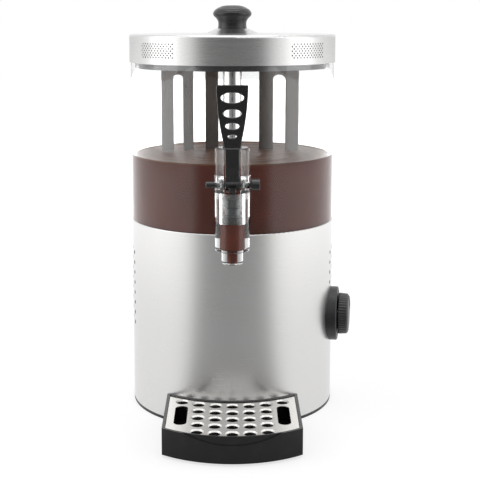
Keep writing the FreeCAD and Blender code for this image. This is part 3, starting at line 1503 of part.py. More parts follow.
def make_chocolate():
    """The chocolate as it stands in the tank and in the tap's chamber, with room for what stands in it."""
    gap = size.loose_fit
    foot = size.column_seal_radius + size.column_seal_lip + gap
    seal_top = tank_floor_top + size.column_seal_height + gap
    pool = revolved("chocolate_pool", [
        (foot, tank_floor_top),
        (size.tank_bore_radius - size.fit, tank_floor_top),
        (size.tank_bore_radius - size.fit, size.chocolate_level),
        (size.column_radius + gap, size.chocolate_level),
        (size.column_radius + gap, seal_top),
        (foot, seal_top),
    ])
    tools = [tine_bar("tine_room_%d" % n, n, gap + size.tine_step, size.tine_bottom - gap, size.tank_top) for n in range(1, 6)]
    tools.append(cylinder("nut_room", size.tap_nut_radius + gap, size.tap_nut * 4,
                          0, size.tap_nut + 2 - size.tap_pad_back, inlet_height, azimuth_turn(0)))
    main = cut("chocolate_in_tank", pool, tools)
    tip = size.seat_seal_radius + gap
    tip_top = size.chamber_floor + size.seat_seal_height + gap
    outer = size.chamber_radius - size.fit
    rod = size.plunger_rod_radius + gap
    small = place(revolved("chocolate_in_tap", [
        (tip, size.chamber_floor),
        (outer, size.chamber_floor),
        (outer, size.seal_step),
        (rod, size.seal_step),
        (rod, tip_top),
        (tip, tip_top),
    ]), 0, -size.tap_reach, 0)
    keep(group("chocolate", [main, small]))


for make in (
    make_base_ring,
    make_bottom_plate,
    make_housing,
    make_tray_pins,
    make_tie_rods,
    make_warming_dish,
    make_heater,
    make_motor,
    make_column,
    make_drive,
    make_thermostat,
    make_bezel,
    make_control_knob,
    make_wiring,
    make_tank,
    make_lid,
    make_paddle,
    make_tap_body,
    make_yoke,
    make_lever,
    make_springs,
    make_plunger,
    make_tray,
    make_grille,
    make_chocolate,
):
    make()
doc.recompute()

for thing in doc.Objects:
    if "Invalid" in thing.State or "Error" in thing.State:
        raise SystemExit("this object failed: %s %s" % (thing.Label, thing.State))
os.makedirs("parts", exist_ok=True)
for piece in pieces:
    shape = piece.Shape
    if shape.isNull() or not shape.isValid():
        raise SystemExit("this piece has no valid solid: " + piece.Label)
    shape.exportStep("parts/%s.step" % piece.Label)
    print("%-22s solids %2d   volume %10.1f" % (piece.Label, len(shape.Solids), shape.Volume))
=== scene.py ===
"""Dresses the round hot chocolate dispenser: steel, clear plastic, chocolate, black mouldings and the studio.

All lengths are in metres. +Z is up, the tap faces -Y and the heat dial is on the +X side.
"""
import json
import math

import bmesh
import bpy
import numpy as np
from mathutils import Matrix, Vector


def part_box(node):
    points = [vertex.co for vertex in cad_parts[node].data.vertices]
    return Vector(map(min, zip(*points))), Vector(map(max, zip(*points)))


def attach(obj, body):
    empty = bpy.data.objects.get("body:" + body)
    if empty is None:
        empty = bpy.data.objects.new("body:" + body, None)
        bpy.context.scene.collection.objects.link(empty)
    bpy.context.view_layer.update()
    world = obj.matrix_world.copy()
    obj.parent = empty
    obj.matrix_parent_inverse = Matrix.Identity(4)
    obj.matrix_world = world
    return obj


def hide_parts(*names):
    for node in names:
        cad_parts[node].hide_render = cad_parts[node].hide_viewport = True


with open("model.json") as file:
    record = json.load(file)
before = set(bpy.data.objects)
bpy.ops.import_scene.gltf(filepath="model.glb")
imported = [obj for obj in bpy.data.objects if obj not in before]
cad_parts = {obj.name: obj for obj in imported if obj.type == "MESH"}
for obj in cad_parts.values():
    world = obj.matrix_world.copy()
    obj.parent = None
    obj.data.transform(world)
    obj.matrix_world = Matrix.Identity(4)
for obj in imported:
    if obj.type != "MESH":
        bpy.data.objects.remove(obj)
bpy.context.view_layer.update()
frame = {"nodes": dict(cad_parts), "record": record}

bl_info = {
    "name": "Hot Chocolate Dispenser",
    "version": (1, 0, 0),
    "blender": (4, 5, 0),
    "location": "View3D > Sidebar > Dispenser",
    "description": "Finishes the drink dispenser's pieces and sets up its studio",
    "category": "Object",
}

TAU = 2 * math.pi
LID_TURNS_IN = 0.3815      # height at which the lid's rim starts to round over
FINE_VOXEL = 0.0004        # remesh step of the pin and the plunger
PADDLE_VOXEL = 0.0008
DIAL_BACK = 0.1130         # the dial's back face, measured along its axis from the machine's axis
DIAL_DEPTH = 0.0112
DIAL_RIBS = 44
POINTER_RISE = 0.0007
WIRE_RADIUS = 0.00055      # the return springs
COIL_TURNS, COIL_PITCH, COIL_START = 1.5, 0.0017, 0.0086
WIRE_SIDES = 14
COLUMN_RADIUS = 0.0103     # the drink's inner face, at the column
FOOT_RADIUS, FOOT_HEIGHT = 0.0154, 0.0064   # the drink's step round the column's seal
TANK_FLOOR = 0.0031        # the floor's thickness with the drink's clearance
TAP_AXIS = (0.0, -0.138, 0.0)
SCREEN_WHITE = (1.0, 1.0, 1.0)
FRONT_EDGE = (0.66, 0.86)   # share of a direction that points forward, where the dark front starts and ends
GRAIN_CONTRAST = 10.5      # how strongly the brushed lines tint the steel
SPARK_GRAIN = 2600.0       # noise scale of a moulded surface
WEAR = 0.35                # how much paler its worn places can get
ROUND_STEPS = 6            # segments of each rounded corner of a profile


# Shader maths


class Value:
    """A shader socket that takes part in ordinary arithmetic. Each operator adds one Math node."""

    def __init__(self, recipe, socket):
        self.recipe = recipe
        self.socket = socket

    def math(self, operation, *others):
        return self.recipe.node("ShaderNodeMath", {"operation": operation}, [self, *others])

    def __add__(self, other):
        return self.math("ADD", other)

    def __mul__(self, other):
        return self.math("MULTIPLY", other)

    def __sub__(self, other):
        return self.math("SUBTRACT", other)

    def __rsub__(self, other):
        return self.recipe.node("ShaderNodeMath", {"operation": "SUBTRACT"}, [other, self])

    def __truediv__(self, other):
        return self.math("DIVIDE", other)

    def __pow__(self, other):
        return self.math("POWER", other)

    def band(self, low, high, start=0.0, end=1.0):
        """Smooth step from start to end as this value goes from low to high."""
        return self.recipe.node("ShaderNodeMapRange", {"interpolation_type": "SMOOTHSTEP"},
                                {"Value": self, "From Min": low, "From Max": high,
                                 "To Min": start, "To Max": end})


class Recipe:
    """A material under construction, or the world's nodes when a world is given."""

    def __init__(self, name, world=None):
        if world:
            self.tree = world.node_tree
            self.place = self.node("ShaderNodeTexCoord", {}, {}, "Generated")
            return
        self.material = bpy.data.materials.new(name)
        self.material.use_nodes = True
        self.tree = self.material.node_tree
        self.shader = self.tree.nodes["Principled BSDF"]
        self.place = self.node("ShaderNodeTexCoord", {}, {}, "Object")

    def node(self, kind, settings=None, inputs=None, output=0):
        """Adds a node, makes its settings, then fills its sockets with numbers, colours or links."""
        made = self.tree.nodes.new(kind)
        for key, value in (settings or {}).items():
            setattr(made, key, value)
        pairs = inputs.items() if isinstance(inputs, dict) else enumerate(inputs or [])
        for key, value in pairs:
            self.fill(made.inputs[key], value)
        return Value(self, made.outputs[output])

    def fill(self, socket, value):
        if isinstance(value, Value):
            self.tree.links.new(value.socket, socket)
        elif socket.type == "RGBA":
            socket.default_value = (*value, 1.0)[:4]
        else:
            socket.default_value = value

    def set(self, **sockets):
        for name, value in sockets.items():
            self.fill(self.shader.inputs[name.replace("_", " ")], value)
        return self

    def scaled(self, x, y, z):
        """Object coordinates, stretched by a factor along each axis."""
        return self.node("ShaderNodeMapping", {}, {"Vector": self.place, "Scale": (x, y, z)})

    def noise(self, scale, detail=3.0, roughness=0.5, where=None):
        return self.node("ShaderNodeTexNoise", {}, {"Vector": where or self.place, "Scale": scale,
                                                   "Detail": detail, "Roughness": roughness})

    def mix(self, factor, first, second):
        node = self.tree.nodes.new("ShaderNodeMix")
        node.data_type = "RGBA"
        for socket, value in zip([s for s in node.inputs if s.enabled], (factor, first, second)):
            self.fill(socket, value)
        return Value(self, next(out for out in node.outputs if out.enabled))

    def axis(self, name):
        return self.node("ShaderNodeSeparateXYZ", {}, {"Vector": self.place}, name)

    def bump(self, height, strength, distance):
        return self.node("ShaderNodeBump", {}, {"Height": height, "Strength": strength, "Distance": distance})


def steel(name, colour, roughness, lines, anisotropic=0.5, grain="round", streak=0.08, painted_shade_radius=0.0,
          painted_shade_height=1.0):
    """Brushed steel: fine lines round the body or upwards, faint clouds and a soft directional shine.
    A shell's inner face, nearer to the axis than the given radius and below the given height, is painted
    near-black: painted shade inside the shell."""
    r = Recipe(name)
    across = {"round": (1.0, 1.0, 60.0), "up": (40.0, 40.0, 1.0), "plain": (1.0, 1.0, 1.0)}[grain]
    fine = r.noise(lines, 4.0, 0.7, r.scaled(*across))
    cloud = r.noise(18.0, 3.0, 0.5)
    tone = r.mix((fine - 0.5) * (streak * GRAIN_CONTRAST) + 0.5 + (cloud - 0.5) * 0.35,
                 tuple(c * (1 - streak) for c in colour), tuple(min(1.0, c * (1 + streak)) for c in colour))
    smudge = r.noise(9.0, 5.0, 0.6)
    if painted_shade_radius:
        x, y = r.axis("X"), r.axis("Y")
        outside = ((x * x + y * y) ** 0.5).band(painted_shade_radius - 0.0005, painted_shade_radius - 0.0002)
        above = r.axis("Z").band(painted_shade_height, painted_shade_height + 0.0005)
        # painted shade: the shell's inner face gets a near-black colour (0.02) in place of the steel's tone
        tone = r.mix(outside.math("MAXIMUM", above), (0.02, 0.02, 0.02), tone)
    r.set(Base_Color=tone, Metallic=1.0, Roughness=(fine - 0.5) * 0.16 + (smudge - 0.5) * 0.06 + roughness,
          Anisotropic=anisotropic, Normal=r.bump(fine, 0.12, 0.00006))
    return r.material


def moulding(name, colour, roughness, grain=0.00003, coat=0.0):
    """Moulded plastic: a fine spark-eroded grain, faint handling marks and slightly paler worn places."""
    r = Recipe(name)
    skin = r.noise(SPARK_GRAIN, 2.0, 0.6)
    marks = r.noise(70.0, 6.0, 0.65)
    paler = tuple(c + 0.016 for c in colour)
    worn = marks.band(0.5, 0.75) * WEAR
    r.set(Base_Color=r.mix(worn, colour, paler), Roughness=(marks - 0.5) * 0.18 + roughness,
          Coat_Weight=coat, Normal=r.bump(skin, 0.35, grain))
    r.shader.inputs["Coat Roughness"].default_value = 0.12
    return r.material


def clear(name, colour, roughness, marks, shine):
    """Clear plastic: full transmission, faint drawn marks and a shadow that lets the light through."""
    r = Recipe(name)
    haze = r.noise(45.0, 5.0, 0.6)
    r.set(Base_Color=colour, Transmission_Weight=1.0, IOR=1.47,
          Roughness=haze.band(0.45, 0.8, roughness, roughness + marks),
          Normal=r.bump(r.noise(11.0, 2.0, 0.4), 0.05, 0.0004))
    r.shader.inputs["Specular IOR Level"].default_value = shine
    passing = r.node("ShaderNodeBsdfTransparent", {}, {"Color": tuple(c * 0.97 for c in colour)})
    shadow = r.node("ShaderNodeLightPath", {}, {}, "Is Shadow Ray")
    both = r.node("ShaderNodeMixShader", {}, {0: shadow, 2: passing})
    r.tree.links.new(r.shader.outputs[0], both.socket.node.inputs[1])
    out = r.tree.nodes["Material Output"]
    r.tree.links.new(both.socket, out.inputs["Surface"])
    return r.material


def rubber(name, colour):
    """Silicone rubber: matt, with a dusty bloom."""
    r = Recipe(name)
    bloom = r.noise(300.0, 4.0, 0.6)
    r.set(Base_Color=r.mix(bloom.band(0.4, 0.7), colour, tuple(c * 1.25 for c in colour)),
          Roughness=bloom.band(0.3, 0.8, 0.55, 0.8), Normal=r.bump(bloom, 0.2, 0.00005))
    return r.material


def chocolate_skin(name, deep, film):
    """Hot chocolate: deep brown where it lies on the wall, a paler matt film with stirred streaks on top."""
    r = Recipe(name)
    normal = r.node("ShaderNodeNewGeometry", {}, {}, "Normal")
    up = r.node("ShaderNodeSeparateXYZ", {}, {"Vector": normal}, "Z")
    x, y = r.axis("X"), r.axis("Y")
    ring = (x * x + y * y) ** 0.5
    swirl = r.noise(26.0, 5.0, 0.6)
    streak = r.noise(1.0, 3.0, 0.6, r.node("ShaderNodeCombineXYZ", {}, {
        "X": (ring + (swirl - 0.5) * 0.02) * 150.0, "Y": swirl * 2.0, "Z": x * 6.0}))
    speck = r.noise(420.0, 4.0, 0.7)
    top = up.band(0.5, 0.9)
    surface = r.mix(streak.band(0.3, 0.72), film, tuple(c * 0.5 for c in film))
    surface = r.mix(speck.band(0.56, 0.7) * 0.35, surface, tuple(min(1.0, c * 1.6) for c in film))
    wall = r.mix(swirl.band(0.3, 0.75), deep, tuple(c * 1.35 for c in deep))
    r.set(Base_Color=r.mix(top, wall, surface), Roughness=top * 0.1 + swirl * 0.2 + 0.22,
          Normal=r.bump((speck * 0.3 + swirl) * top, 0.25, 0.0006))
    r.shader.inputs["Specular IOR Level"].default_value = 0.1
    return r.material


def paddle_skin(name, colour, coat_colour, level):
    """The paddle's grey-brown plastic, with dried chocolate runs above the drink's level."""
    r = Recipe(name)
    runs = r.noise(1.0, 5.0, 0.65, r.scaled(240.0, 240.0, 30.0))
    z = r.axis("Z")
    wet = z.band(level + 0.012, level + 0.05, 1.0, 0.0) * 0.55 + runs.band(0.48, 0.68) * 0.4
    grain = r.noise(900.0, 2.0, 0.6)
    r.set(Base_Color=r.mix(wet, colour, coat_colour), Roughness=wet * -0.15 + 0.5,
          Normal=r.bump(grain * 0.4 + runs * 0.6, 0.3, 0.0003))
    return r.material


# Surfaces


def surface(name, points, wrap=False):
    """A mesh from a grid of points, shape (rows, columns, 3). With wrap, each row joins its own start."""
    rows, columns = points.shape[:2]
    u = np.arange(rows - 1)[:, None]
    v = np.arange(columns if wrap else columns - 1)[None, :]
    corner = [((u + a) % rows) * columns + (v + b) % columns for a, b in ((0, 0), (0, 1), (1, 1), (1, 0))]
    faces = np.stack(corner, axis=-1).reshape(-1, 4)
    mesh = bpy.data.meshes.new(name)
    mesh.from_pydata(points.reshape(-1, 3).tolist(), [], faces.tolist())
    return finish_mesh(name, mesh)


def finish_mesh(name, mesh):
    """Merges doubles, so that poles and seams close, turns the faces outwards and smooths them."""
    shape = bmesh.new()
    shape.from_mesh(mesh)
    bmesh.ops.remove_doubles(shape, verts=shape.verts, dist=1e-7)
    bmesh.ops.dissolve_degenerate(shape, edges=shape.edges, dist=1e-7)
    bmesh.ops.recalc_face_normals(shape, faces=shape.faces)
    shape.to_mesh(mesh)
    shape.free()
    mesh.shade_smooth()
    piece = bpy.data.objects.new(name, mesh)
    bpy.context.scene.collection.objects.link(piece)
    return piece


def rounded(corners):
    """A profile through (r, z, radius) corners. Each corner becomes a quadratic curve that starts and ends
    its radius away from the corner: p = (1-t)^2 a + 2t(1-t) corner + t^2 b."""
    points = [np.array(corners[0][:2])]
    for before, here, after in zip(corners, corners[1:], corners[2:]):
        p, q, s = (np.array(c[:2], float) for c in (before, here, after))
        reach = here[2] if len(here) > 2 else 0.0
        if not reach:
            points.append(q)
            continue
        a = q + (p - q) / np.linalg.norm(p - q) * reach
        b = q + (s - q) / np.linalg.norm(s - q) * reach
        t = np.linspace(0, 1, ROUND_STEPS + 1)[:, None]
        points.extend((1 - t) ** 2 * a + 2 * t * (1 - t) * q + t ** 2 * b)
    points.append(np.array(corners[-1][:2]))
    return np.array(points, float)


def turned(name, profile, count=96, centre=(0.0, 0.0, 0.0)):
    """Profile (r, z) carried round Z: x = r cos a, y = r sin a."""
    a = np.linspace(0, TAU, count, endpoint=False)
    r, z = profile[:, :1], profile[:, 1:]
    points = np.stack([r * np.cos(a) + centre[0], r * np.sin(a) + centre[1],
                       z + np.zeros_like(a) + centre[2]], axis=-1)
    return surface(name, points, wrap=True)


def softened(name, node, voxel, passes=2):
    """A copy of a CAD node, remeshed finely and relaxed, so that its edges have a moulded radius."""
    source = frame["nodes"][node]
    mesh = source.data.copy()
    mesh.transform(source.matrix_world)
    piece = bpy.data.objects.new(name, mesh)
    bpy.context.scene.collection.objects.link(piece)
    weld = piece.modifiers.new("weld", "WELD")
    weld.merge_threshold = 1e-6
    remesh = piece.modifiers.new("remesh", "REMESH")
    remesh.mode = "VOXEL"
    remesh.voxel_size = voxel
    relax = piece.modifiers.new("relax", "SMOOTH")
    relax.factor = 0.5
    relax.iterations = passes
    bpy.context.view_layer.update()
    graph = bpy.context.evaluated_depsgraph_get()
    final = bpy.data.meshes.new_from_object(piece.evaluated_get(graph))
    piece.modifiers.clear()
    piece.data = final
    final.name = name
    final.shade_smooth()
    return piece


def dress(piece, material, *, body=None, node=None):
    """Gives a new piece its material, attaches it to the body it rides on and hides the CAD nodes it stands
    for.
    """
    piece.data.materials.clear()
    piece.data.materials.append(material)
    if body:
        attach(piece, body)
    if node:
        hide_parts(*([node] if isinstance(node, str) else node))
    return piece


def paint(material, *nodes):
    """Puts a material on every slot of CAD nodes whose shape stays."""
    for node in nodes:
        piece = frame["nodes"][node]
        if not piece.material_slots:
            piece.data.materials.append(material)
        for place in piece.material_slots:
            place.material = material


def limits(node):
    low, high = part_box(node)
    return np.array(low), np.array(high)


# Settings


def length(name, description, value):
    return bpy.props.FloatProperty(name=name, description=description, default=value,
                                   unit="LENGTH", precision=5)


def colour(name, description, value):
    return bpy.props.FloatVectorProperty(name=name, description=description, default=value, subtype="COLOR",
                                         size=3, min=0.0, max=1.0)


class DispenserColours(bpy.types.PropertyGroup):
    """Colours of the machine's finishes."""
    steel: colour("Steel", "Brushed steel of the housing", (0.66, 0.655, 0.65))
    polished: colour("Lid", "Fine spun steel of the lid", (0.6, 0.597, 0.593))
    black: colour("Black", "Black moulded plastic", (0.014, 0.014, 0.015))
    lever: colour("Lever", "Lever and pin", (0.008, 0.008, 0.008))
    paddle: colour("Paddle", "Stirring paddle", (0.085, 0.056, 0.038))
    chocolate: colour("Chocolate", "Chocolate behind the clear wall", (0.084, 0.0145, 0.0050))
    film: colour("Film", "Film on top of the chocolate", (0.20, 0.085, 0.042))


class DispenserSizes(bpy.types.PropertyGroup):
    """Sizes of the pieces that are made here."""
    knob_round: length("Lid knob round", "Rounding of the lid knob's edge", 0.0034)
    rib_depth: length("Dial ribs", "Depth of the ribs on the dial's skirt", 0.00055)
    pointer: length("Dial pointer", "Half width of the dial's raised pointer", 0.0011)
    ripple: length("Ripple", "Height of the stirred ripple on the chocolate", 0.0005)
    meniscus: length("Meniscus", "How far the chocolate climbs the wall", 0.0016)
    edge: length("Moulded edge", "Voxel of the softened lever", 0.00042)


def looks():
    return bpy.context.scene.dispenser_colours


def sizes():
    return bpy.context.scene.dispenser_sizes


# Pieces


class DISPENSER_OT_steel(bpy.types.Operator):
    """Brushed and spun steel of the housing, the lid, the grille and the inner metal parts"""
    bl_idname = "dispenser.steel"
    bl_label = "Steel"

    def execute(self, context):
        c = looks()
        paint(steel("brushed_steel", c.steel, 0.30, 30.0, 0.55, "round", 0.05), "housing_shell")
        rim = limits("lid")[1][0]
        # the lid's inner faces below the height where its rim rounds over get painted shade
        paint(steel("polished_steel", c.polished, 0.28, 34.0, 0.4, "round", 0.04, rim, LID_TURNS_IN), "lid")
        # painted shade: the liner under the lid's rim is steel darkened to 0.12
        paint(steel("liner_steel", (0.12, 0.12, 0.12), 0.3, 30.0, 0.3, "round", 0.03), "lid_liner")
        paint(steel("grille_steel", (0.70, 0.69, 0.67), 0.27, 60.0, 0.2, "plain", 0.06), "drip_grille")
        plain = steel("plain_steel", (0.52, 0.52, 0.52), 0.34, 50.0, 0.3, "up", 0.08)
        paint(plain, "bottom_plate", "tie_rods", "motor_bracket", "bracket_standoffs")
        paint(steel("polished_column", (0.62, 0.62, 0.61), 0.09, 60.0, 0.0, "round", 0.03), "column_tube")
        paint(steel("screw_steel", (0.5, 0.5, 0.49), 0.32, 90.0, 0.0, "plain", 0.1), "bottom_screws",
              "bracket_screws", "gearbox_screws", "coupler_grub_screws", "lid_washer", "lid_screw")
        paint(steel("shaft_steel", (0.56, 0.56, 0.56), 0.2, 90.0, 0.3, "round", 0.05), "output_shaft",
              "drive_shaft", "control_spindle", "link_pin", "tray_pins")
        paint(steel("element_steel", (0.3, 0.26, 0.22), 0.42, 40.0, 0.0, "plain", 0.2), "heating_element")
        paint(steel("motor_steel", (0.42, 0.43, 0.43), 0.36, 40.0, 0.2, "round", 0.1), "gear_motor")
        paint(steel("cast_aluminium", (0.5, 0.5, 0.51), 0.5, 200.0, 0.0, "plain", 0.1), "gearbox")
        paint(steel("spun_aluminium", (0.6, 0.6, 0.61), 0.33, 40.0, 0.3, "plain", 0.05), "warming_dish")
        paint(steel("brass", (0.62, 0.44, 0.2), 0.3, 60.0, 0.0, "plain", 0.12), "thermal_cutout",
              "shaft_coupler", "thermostat_nut")
        return {"FINISHED"}


class DISPENSER_OT_mouldings(bpy.types.Operator):
    """Black, white and rubber parts whose CAD shape stays"""
    bl_idname = "dispenser.mouldings"
    bl_label = "Mouldings"

    def execute(self, context):
        c = looks()
        paint(moulding("black_satin", c.black, 0.42), "base_ring", "control_bezel", "cord_gland")
        paint(moulding("tray_black", tuple(v * 1.1 for v in c.black), 0.36), "drip_tray")
        paint(moulding("phenolic", (0.09, 0.075, 0.065), 0.5), "thermostat", "terminal_block")
        paint(moulding("bearing_white", (0.72, 0.71, 0.67), 0.45),
              "lower_bushing", "upper_bushing", "tap_nut")
        paint(rubber("silicone", (0.33, 0.33, 0.32)), "tank_gasket", "column_seal", "tap_gasket")
        paint(rubber("dark_rubber", (0.03, 0.025, 0.022)), "plunger_seal", "seat_seal")
        return {"FINISHED"}


class DISPENSER_OT_clear(bpy.types.Operator):
    """The clear tank, tap body and yoke"""
    bl_idname = "dispenser.clear"
    bl_label = "Clear plastic"

    def execute(self, context):
        paint(clear("clear_tank", (0.945, 0.95, 0.95), 0.015, 0.03, 0.2), "tank")
        paint(clear("clear_tap", (0.93, 0.945, 0.945), 0.03, 0.06, 0.4), "tap_body", "tap_yoke")
        return {"FINISHED"}


class DISPENSER_OT_lid_knob(bpy.types.Operator):
    """The glossy black knob: a waisted foot, a flared rim and a low dome"""
    bl_idname = "dispenser.lid_knob"
    bl_label = "Lid knob"

    def execute(self, context):
        low, high = limits("lid_knob")
        base, top = low[2], high[2]
        radius = (high[0] - low[0]) / 2
        foot, waist, edge = 0.01485, 0.0142, base + 0.0148
        profile = rounded([
            (0.0032, base), (foot, base, 0.0), (foot, base + 0.0006, 0.0005), (waist, base + 0.0052, 0.003),
            (waist + 0.0012, base + 0.0096, 0.003), (radius - 0.0012, base + 0.0126, 0.0016),
            (radius, edge, 0.0016), (radius - 0.0012, base + 0.0182, 0.0022),
            (radius * 0.72, top - 0.0022, sizes().knob_round), (radius * 0.4, top, 0.004), (0.0, top)])
        knob = turned("lid_knob_black", profile, 112)
        dress(knob, moulding("knob_gloss", looks().lever, 0.3, 0.00001, 0.04),
              body="lid_unit", node="lid_knob")
        return {"FINISHED"}


class DISPENSER_OT_dial(bpy.types.Operator):
    """The heat dial: a ribbed, slightly tapered skirt with a domed face and a raised pointer"""
    bl_idname = "dispenser.dial"
    bl_label = "Heat dial"

    def execute(self, context):
        """Along the dial's axis w, with the angle a round it: the radius is the profile's radius less the
        depth of rounded ribs, depth * |sin(ribs a / 2)|^3, which fades out towards the face."""
        joint = next(j for j in frame["record"]["behaviour"]["joints"] if j["child"] == "control")
        w = np.array(joint["axis"]) / np.linalg.norm(joint["axis"])
        side = np.cross((0, 0, 1.0), w)
        low, high = limits("control_knob")
        middle = np.array(joint["pos_m"])
        start = DIAL_BACK - np.dot(middle, w)
        front = start + DIAL_DEPTH
        radius = (high[2] - low[2]) / 2 + sizes().rib_depth * 0.2
        profile = rounded([
            (0.0045, start), (radius - 0.0012, start), (radius, start + 0.0009, 0.0008),
            (radius - 0.0007, front - 0.0018, 0.0008), (radius - 0.0026, front - 0.0003, 0.0012),
            (radius * 0.6, front + 0.0004, 0.003), (0.0, front + 0.0007)])
        a = np.linspace(0, TAU, 720, endpoint=False)
        skirt = np.clip((front - 0.001 - profile[:, 1:]) / 0.003, 0, 1)
        skirt = skirt * np.clip((profile[:, :1] - radius * 0.85) / (radius * 0.1), 0, 1)
        r = profile[:, :1] - skirt * sizes().rib_depth * np.abs(np.sin(DIAL_RIBS / 2 * a)) ** 3
        across = r * np.sin(a)
        ridge = np.clip(1 - (np.abs(across) / sizes().pointer) ** 4, 0, 1) * (np.cos(a) > 0) * (r > 0.004)
        face = np.clip((profile[:, 1:] - front + 0.0012) / 0.0008, 0, 1)
        depth = profile[:, 1:] + ridge * face * POINTER_RISE
        points = (middle + depth[..., None] * w + across[..., None] * side
                  + (r * np.cos(a))[..., None] * np.array((0, 0, 1.0)))
        dial = surface("heat_dial", points, wrap=True)
        dress(dial, moulding("dial_black", looks().black, 0.38),
              body="control", node="control_knob")
        return {"FINISHED"}


class DISPENSER_OT_lever(bpy.types.Operator):
    """The holed tap lever, the pivot pin, the plunger and the paddle with softly moulded edges"""
    bl_idname = "dispenser.lever"
    bl_label = "Lever and pins"

    def execute(self, context):
        c = looks()
        gloss = moulding("lever_gloss", c.lever, 0.26, 0.00001, 0.35)
        dress(softened("tap_lever_black", "tap_lever", sizes().edge), gloss, body="lever", node="tap_lever")
        dress(softened("pivot_pin_black", "pivot_pin", FINE_VOXEL), gloss, body="tank_unit", node="pivot_pin")
        grey = moulding("plunger_grey", (0.05, 0.05, 0.052), 0.3, 0.00002)
        dress(softened("plunger_grey", "plunger", FINE_VOXEL), grey, body="tap_plunger", node="plunger")
        level = limits("chocolate")[1][2]
        skin = paddle_skin("paddle_brown", c.paddle, tuple(v * 0.5 for v in c.paddle), level)
        dress(softened("stirring_paddle", "paddle", PADDLE_VOXEL), skin, body="paddle", node="paddle")
        return {"FINISHED"}


class DISPENSER_OT_springs(bpy.types.Operator):
    """The two small return springs in the yoke's pockets, each one unbroken coil of round wire"""
    bl_idname = "dispenser.springs"
    bl_label = "Springs"

    def execute(self, context):
        """Centre line: (pitch t, R cos t, R sin t), mirrored for the other side. The wire is a circle
        of the wire's radius in the plane of the coil's radius and the pivot's axis."""
        pivot = next(j for j in frame["record"]["behaviour"]["joints"] if j["name"] == "lever_swing")["pos_m"]
        low, high = limits("lever_springs")
        coil = (high[2] - low[2]) / 2 - WIRE_RADIUS
        t = np.linspace(0, COIL_TURNS * TAU, 97)[:, None]
        a = np.linspace(0, TAU, WIRE_SIDES, endpoint=False)[None, :]
        steel_wire = steel("spring_steel", (0.6, 0.6, 0.59), 0.2, 80.0, 0.0, "plain", 0.05)
        coils = []
        for hand in (-1, 1):
            r = coil + WIRE_RADIUS * np.cos(a)
            x = hand * (COIL_START + COIL_PITCH * t / TAU + WIRE_RADIUS * np.sin(a))
            tube = np.stack([x + r * 0, r * np.cos(t), r * np.sin(t)], axis=-1) + np.array(pivot)
            ends = [np.repeat(tube[k].mean(axis=0)[None, None], WIRE_SIDES, axis=1) for k in (0, -1)]
            coils.append(np.concatenate([ends[0], tube, ends[1]]))
        for hand, tube in zip(("left", "right"), coils):
            piece = surface("return_spring_" + hand, tube, wrap=True)
            dress(piece, steel_wire, body="tank_unit", node="lever_springs")
        return {"FINISHED"}


class DISPENSER_OT_chocolate(bpy.types.Operator):
    """The chocolate in the tank and in the tap: a stirred surface that climbs a little at the clear wall"""
    bl_idname = "dispenser.chocolate"
    bl_label = "Chocolate"

    def execute(self, context):
        """Height of the surface at radius r and angle a: the level, less a dip, plus the waves
        ripple * (sin(420 r + 2 a) / 2 + 0.7 sin(170 r - 3 a + 1)), which fade out at the wall, plus a
        meniscus that rises as exp(-(R - r) / 2 mm) there and half as high at the column."""
        high = limits("chocolate")[1]
        outer = high[0] + 0.00025
        level = high[2] - sizes().meniscus
        floor = limits("tank")[0][2] + TANK_FLOOR
        column, foot, foot_top = COLUMN_RADIUS, FOOT_RADIUS, floor + FOOT_HEIGHT
        a = np.linspace(0, TAU, 240, endpoint=False)[None, :]
        open_part = np.linspace(column, outer - 0.008, 64)
        near_wall = outer - np.linspace(0.0072, 0, 14)
        r = np.concatenate([open_part, near_wall])[:, None]
        wall = np.exp(-(outer - r) / 0.002)
        column_rise = np.exp(-(r - column) / 0.0015) * 0.5
        wave = sizes().ripple * (np.sin(r * 420 + 2 * a) * 0.5 + np.sin(r * 170 - 3 * a + 1.0) * 0.7)
        z = level - 0.0009 + wave * (1 - wall) + sizes().meniscus * (wall + column_rise) * 0.95
        top = np.stack([r * np.cos(a), r * np.sin(a), z], axis=-1)

        def ring(radius, height):
            return np.stack([radius * np.cos(a), radius * np.sin(a), height + a * 0], axis=-1)

        sides = [ring(outer, zz) for zz in np.linspace(level - 0.004, floor + 0.0004, 12)]
        under = [ring(outer - 0.0005, floor), ring(foot, floor), ring(foot, foot_top), ring(column, foot_top)]
        grid = np.concatenate([top] + sides + under)
        grid = np.concatenate([grid, grid[:1]])
        pool = surface("hot_chocolate", grid, wrap=True)
        skin = chocolate_skin("hot_chocolate", looks().chocolate, looks().film)
        dress(pool, skin, body="tank_unit", node="chocolate")
        bore, rod, tip, tip_top, seat, ceiling = 0.00778, 0.0041, 0.0063, 0.1909, 0.18775, 0.21245
        small = turned("chocolate_in_tap", rounded([
            (tip, seat), (bore, seat, 0.0003), (bore, ceiling, 0.0003), (rod, ceiling),
            (rod, tip_top), (tip, tip_top), (tip, seat)]), 64, TAP_AXIS)
        dress(small, skin, body="tank_unit", node="chocolate")
        # painted reflection and shade: a thin sleeve in the chocolate's colour lines the clear nozzle's
        # channel and gives it its grey-brown look
        sleeve_inside, sleeve_outside, sleeve_top = 0.0028, 0.00328, 0.1874
        film = turned("nozzle_sleeve_painted_reflection", rounded([
            (sleeve_inside, 0.1753), (sleeve_outside, 0.1750, 0.0002), (sleeve_outside, sleeve_top),
            (sleeve_inside, sleeve_top), (sleeve_inside, 0.1753)]),
            48, TAP_AXIS)
        dress(film, skin, body="tank_unit", node="chocolate")
        return {"FINISHED"}


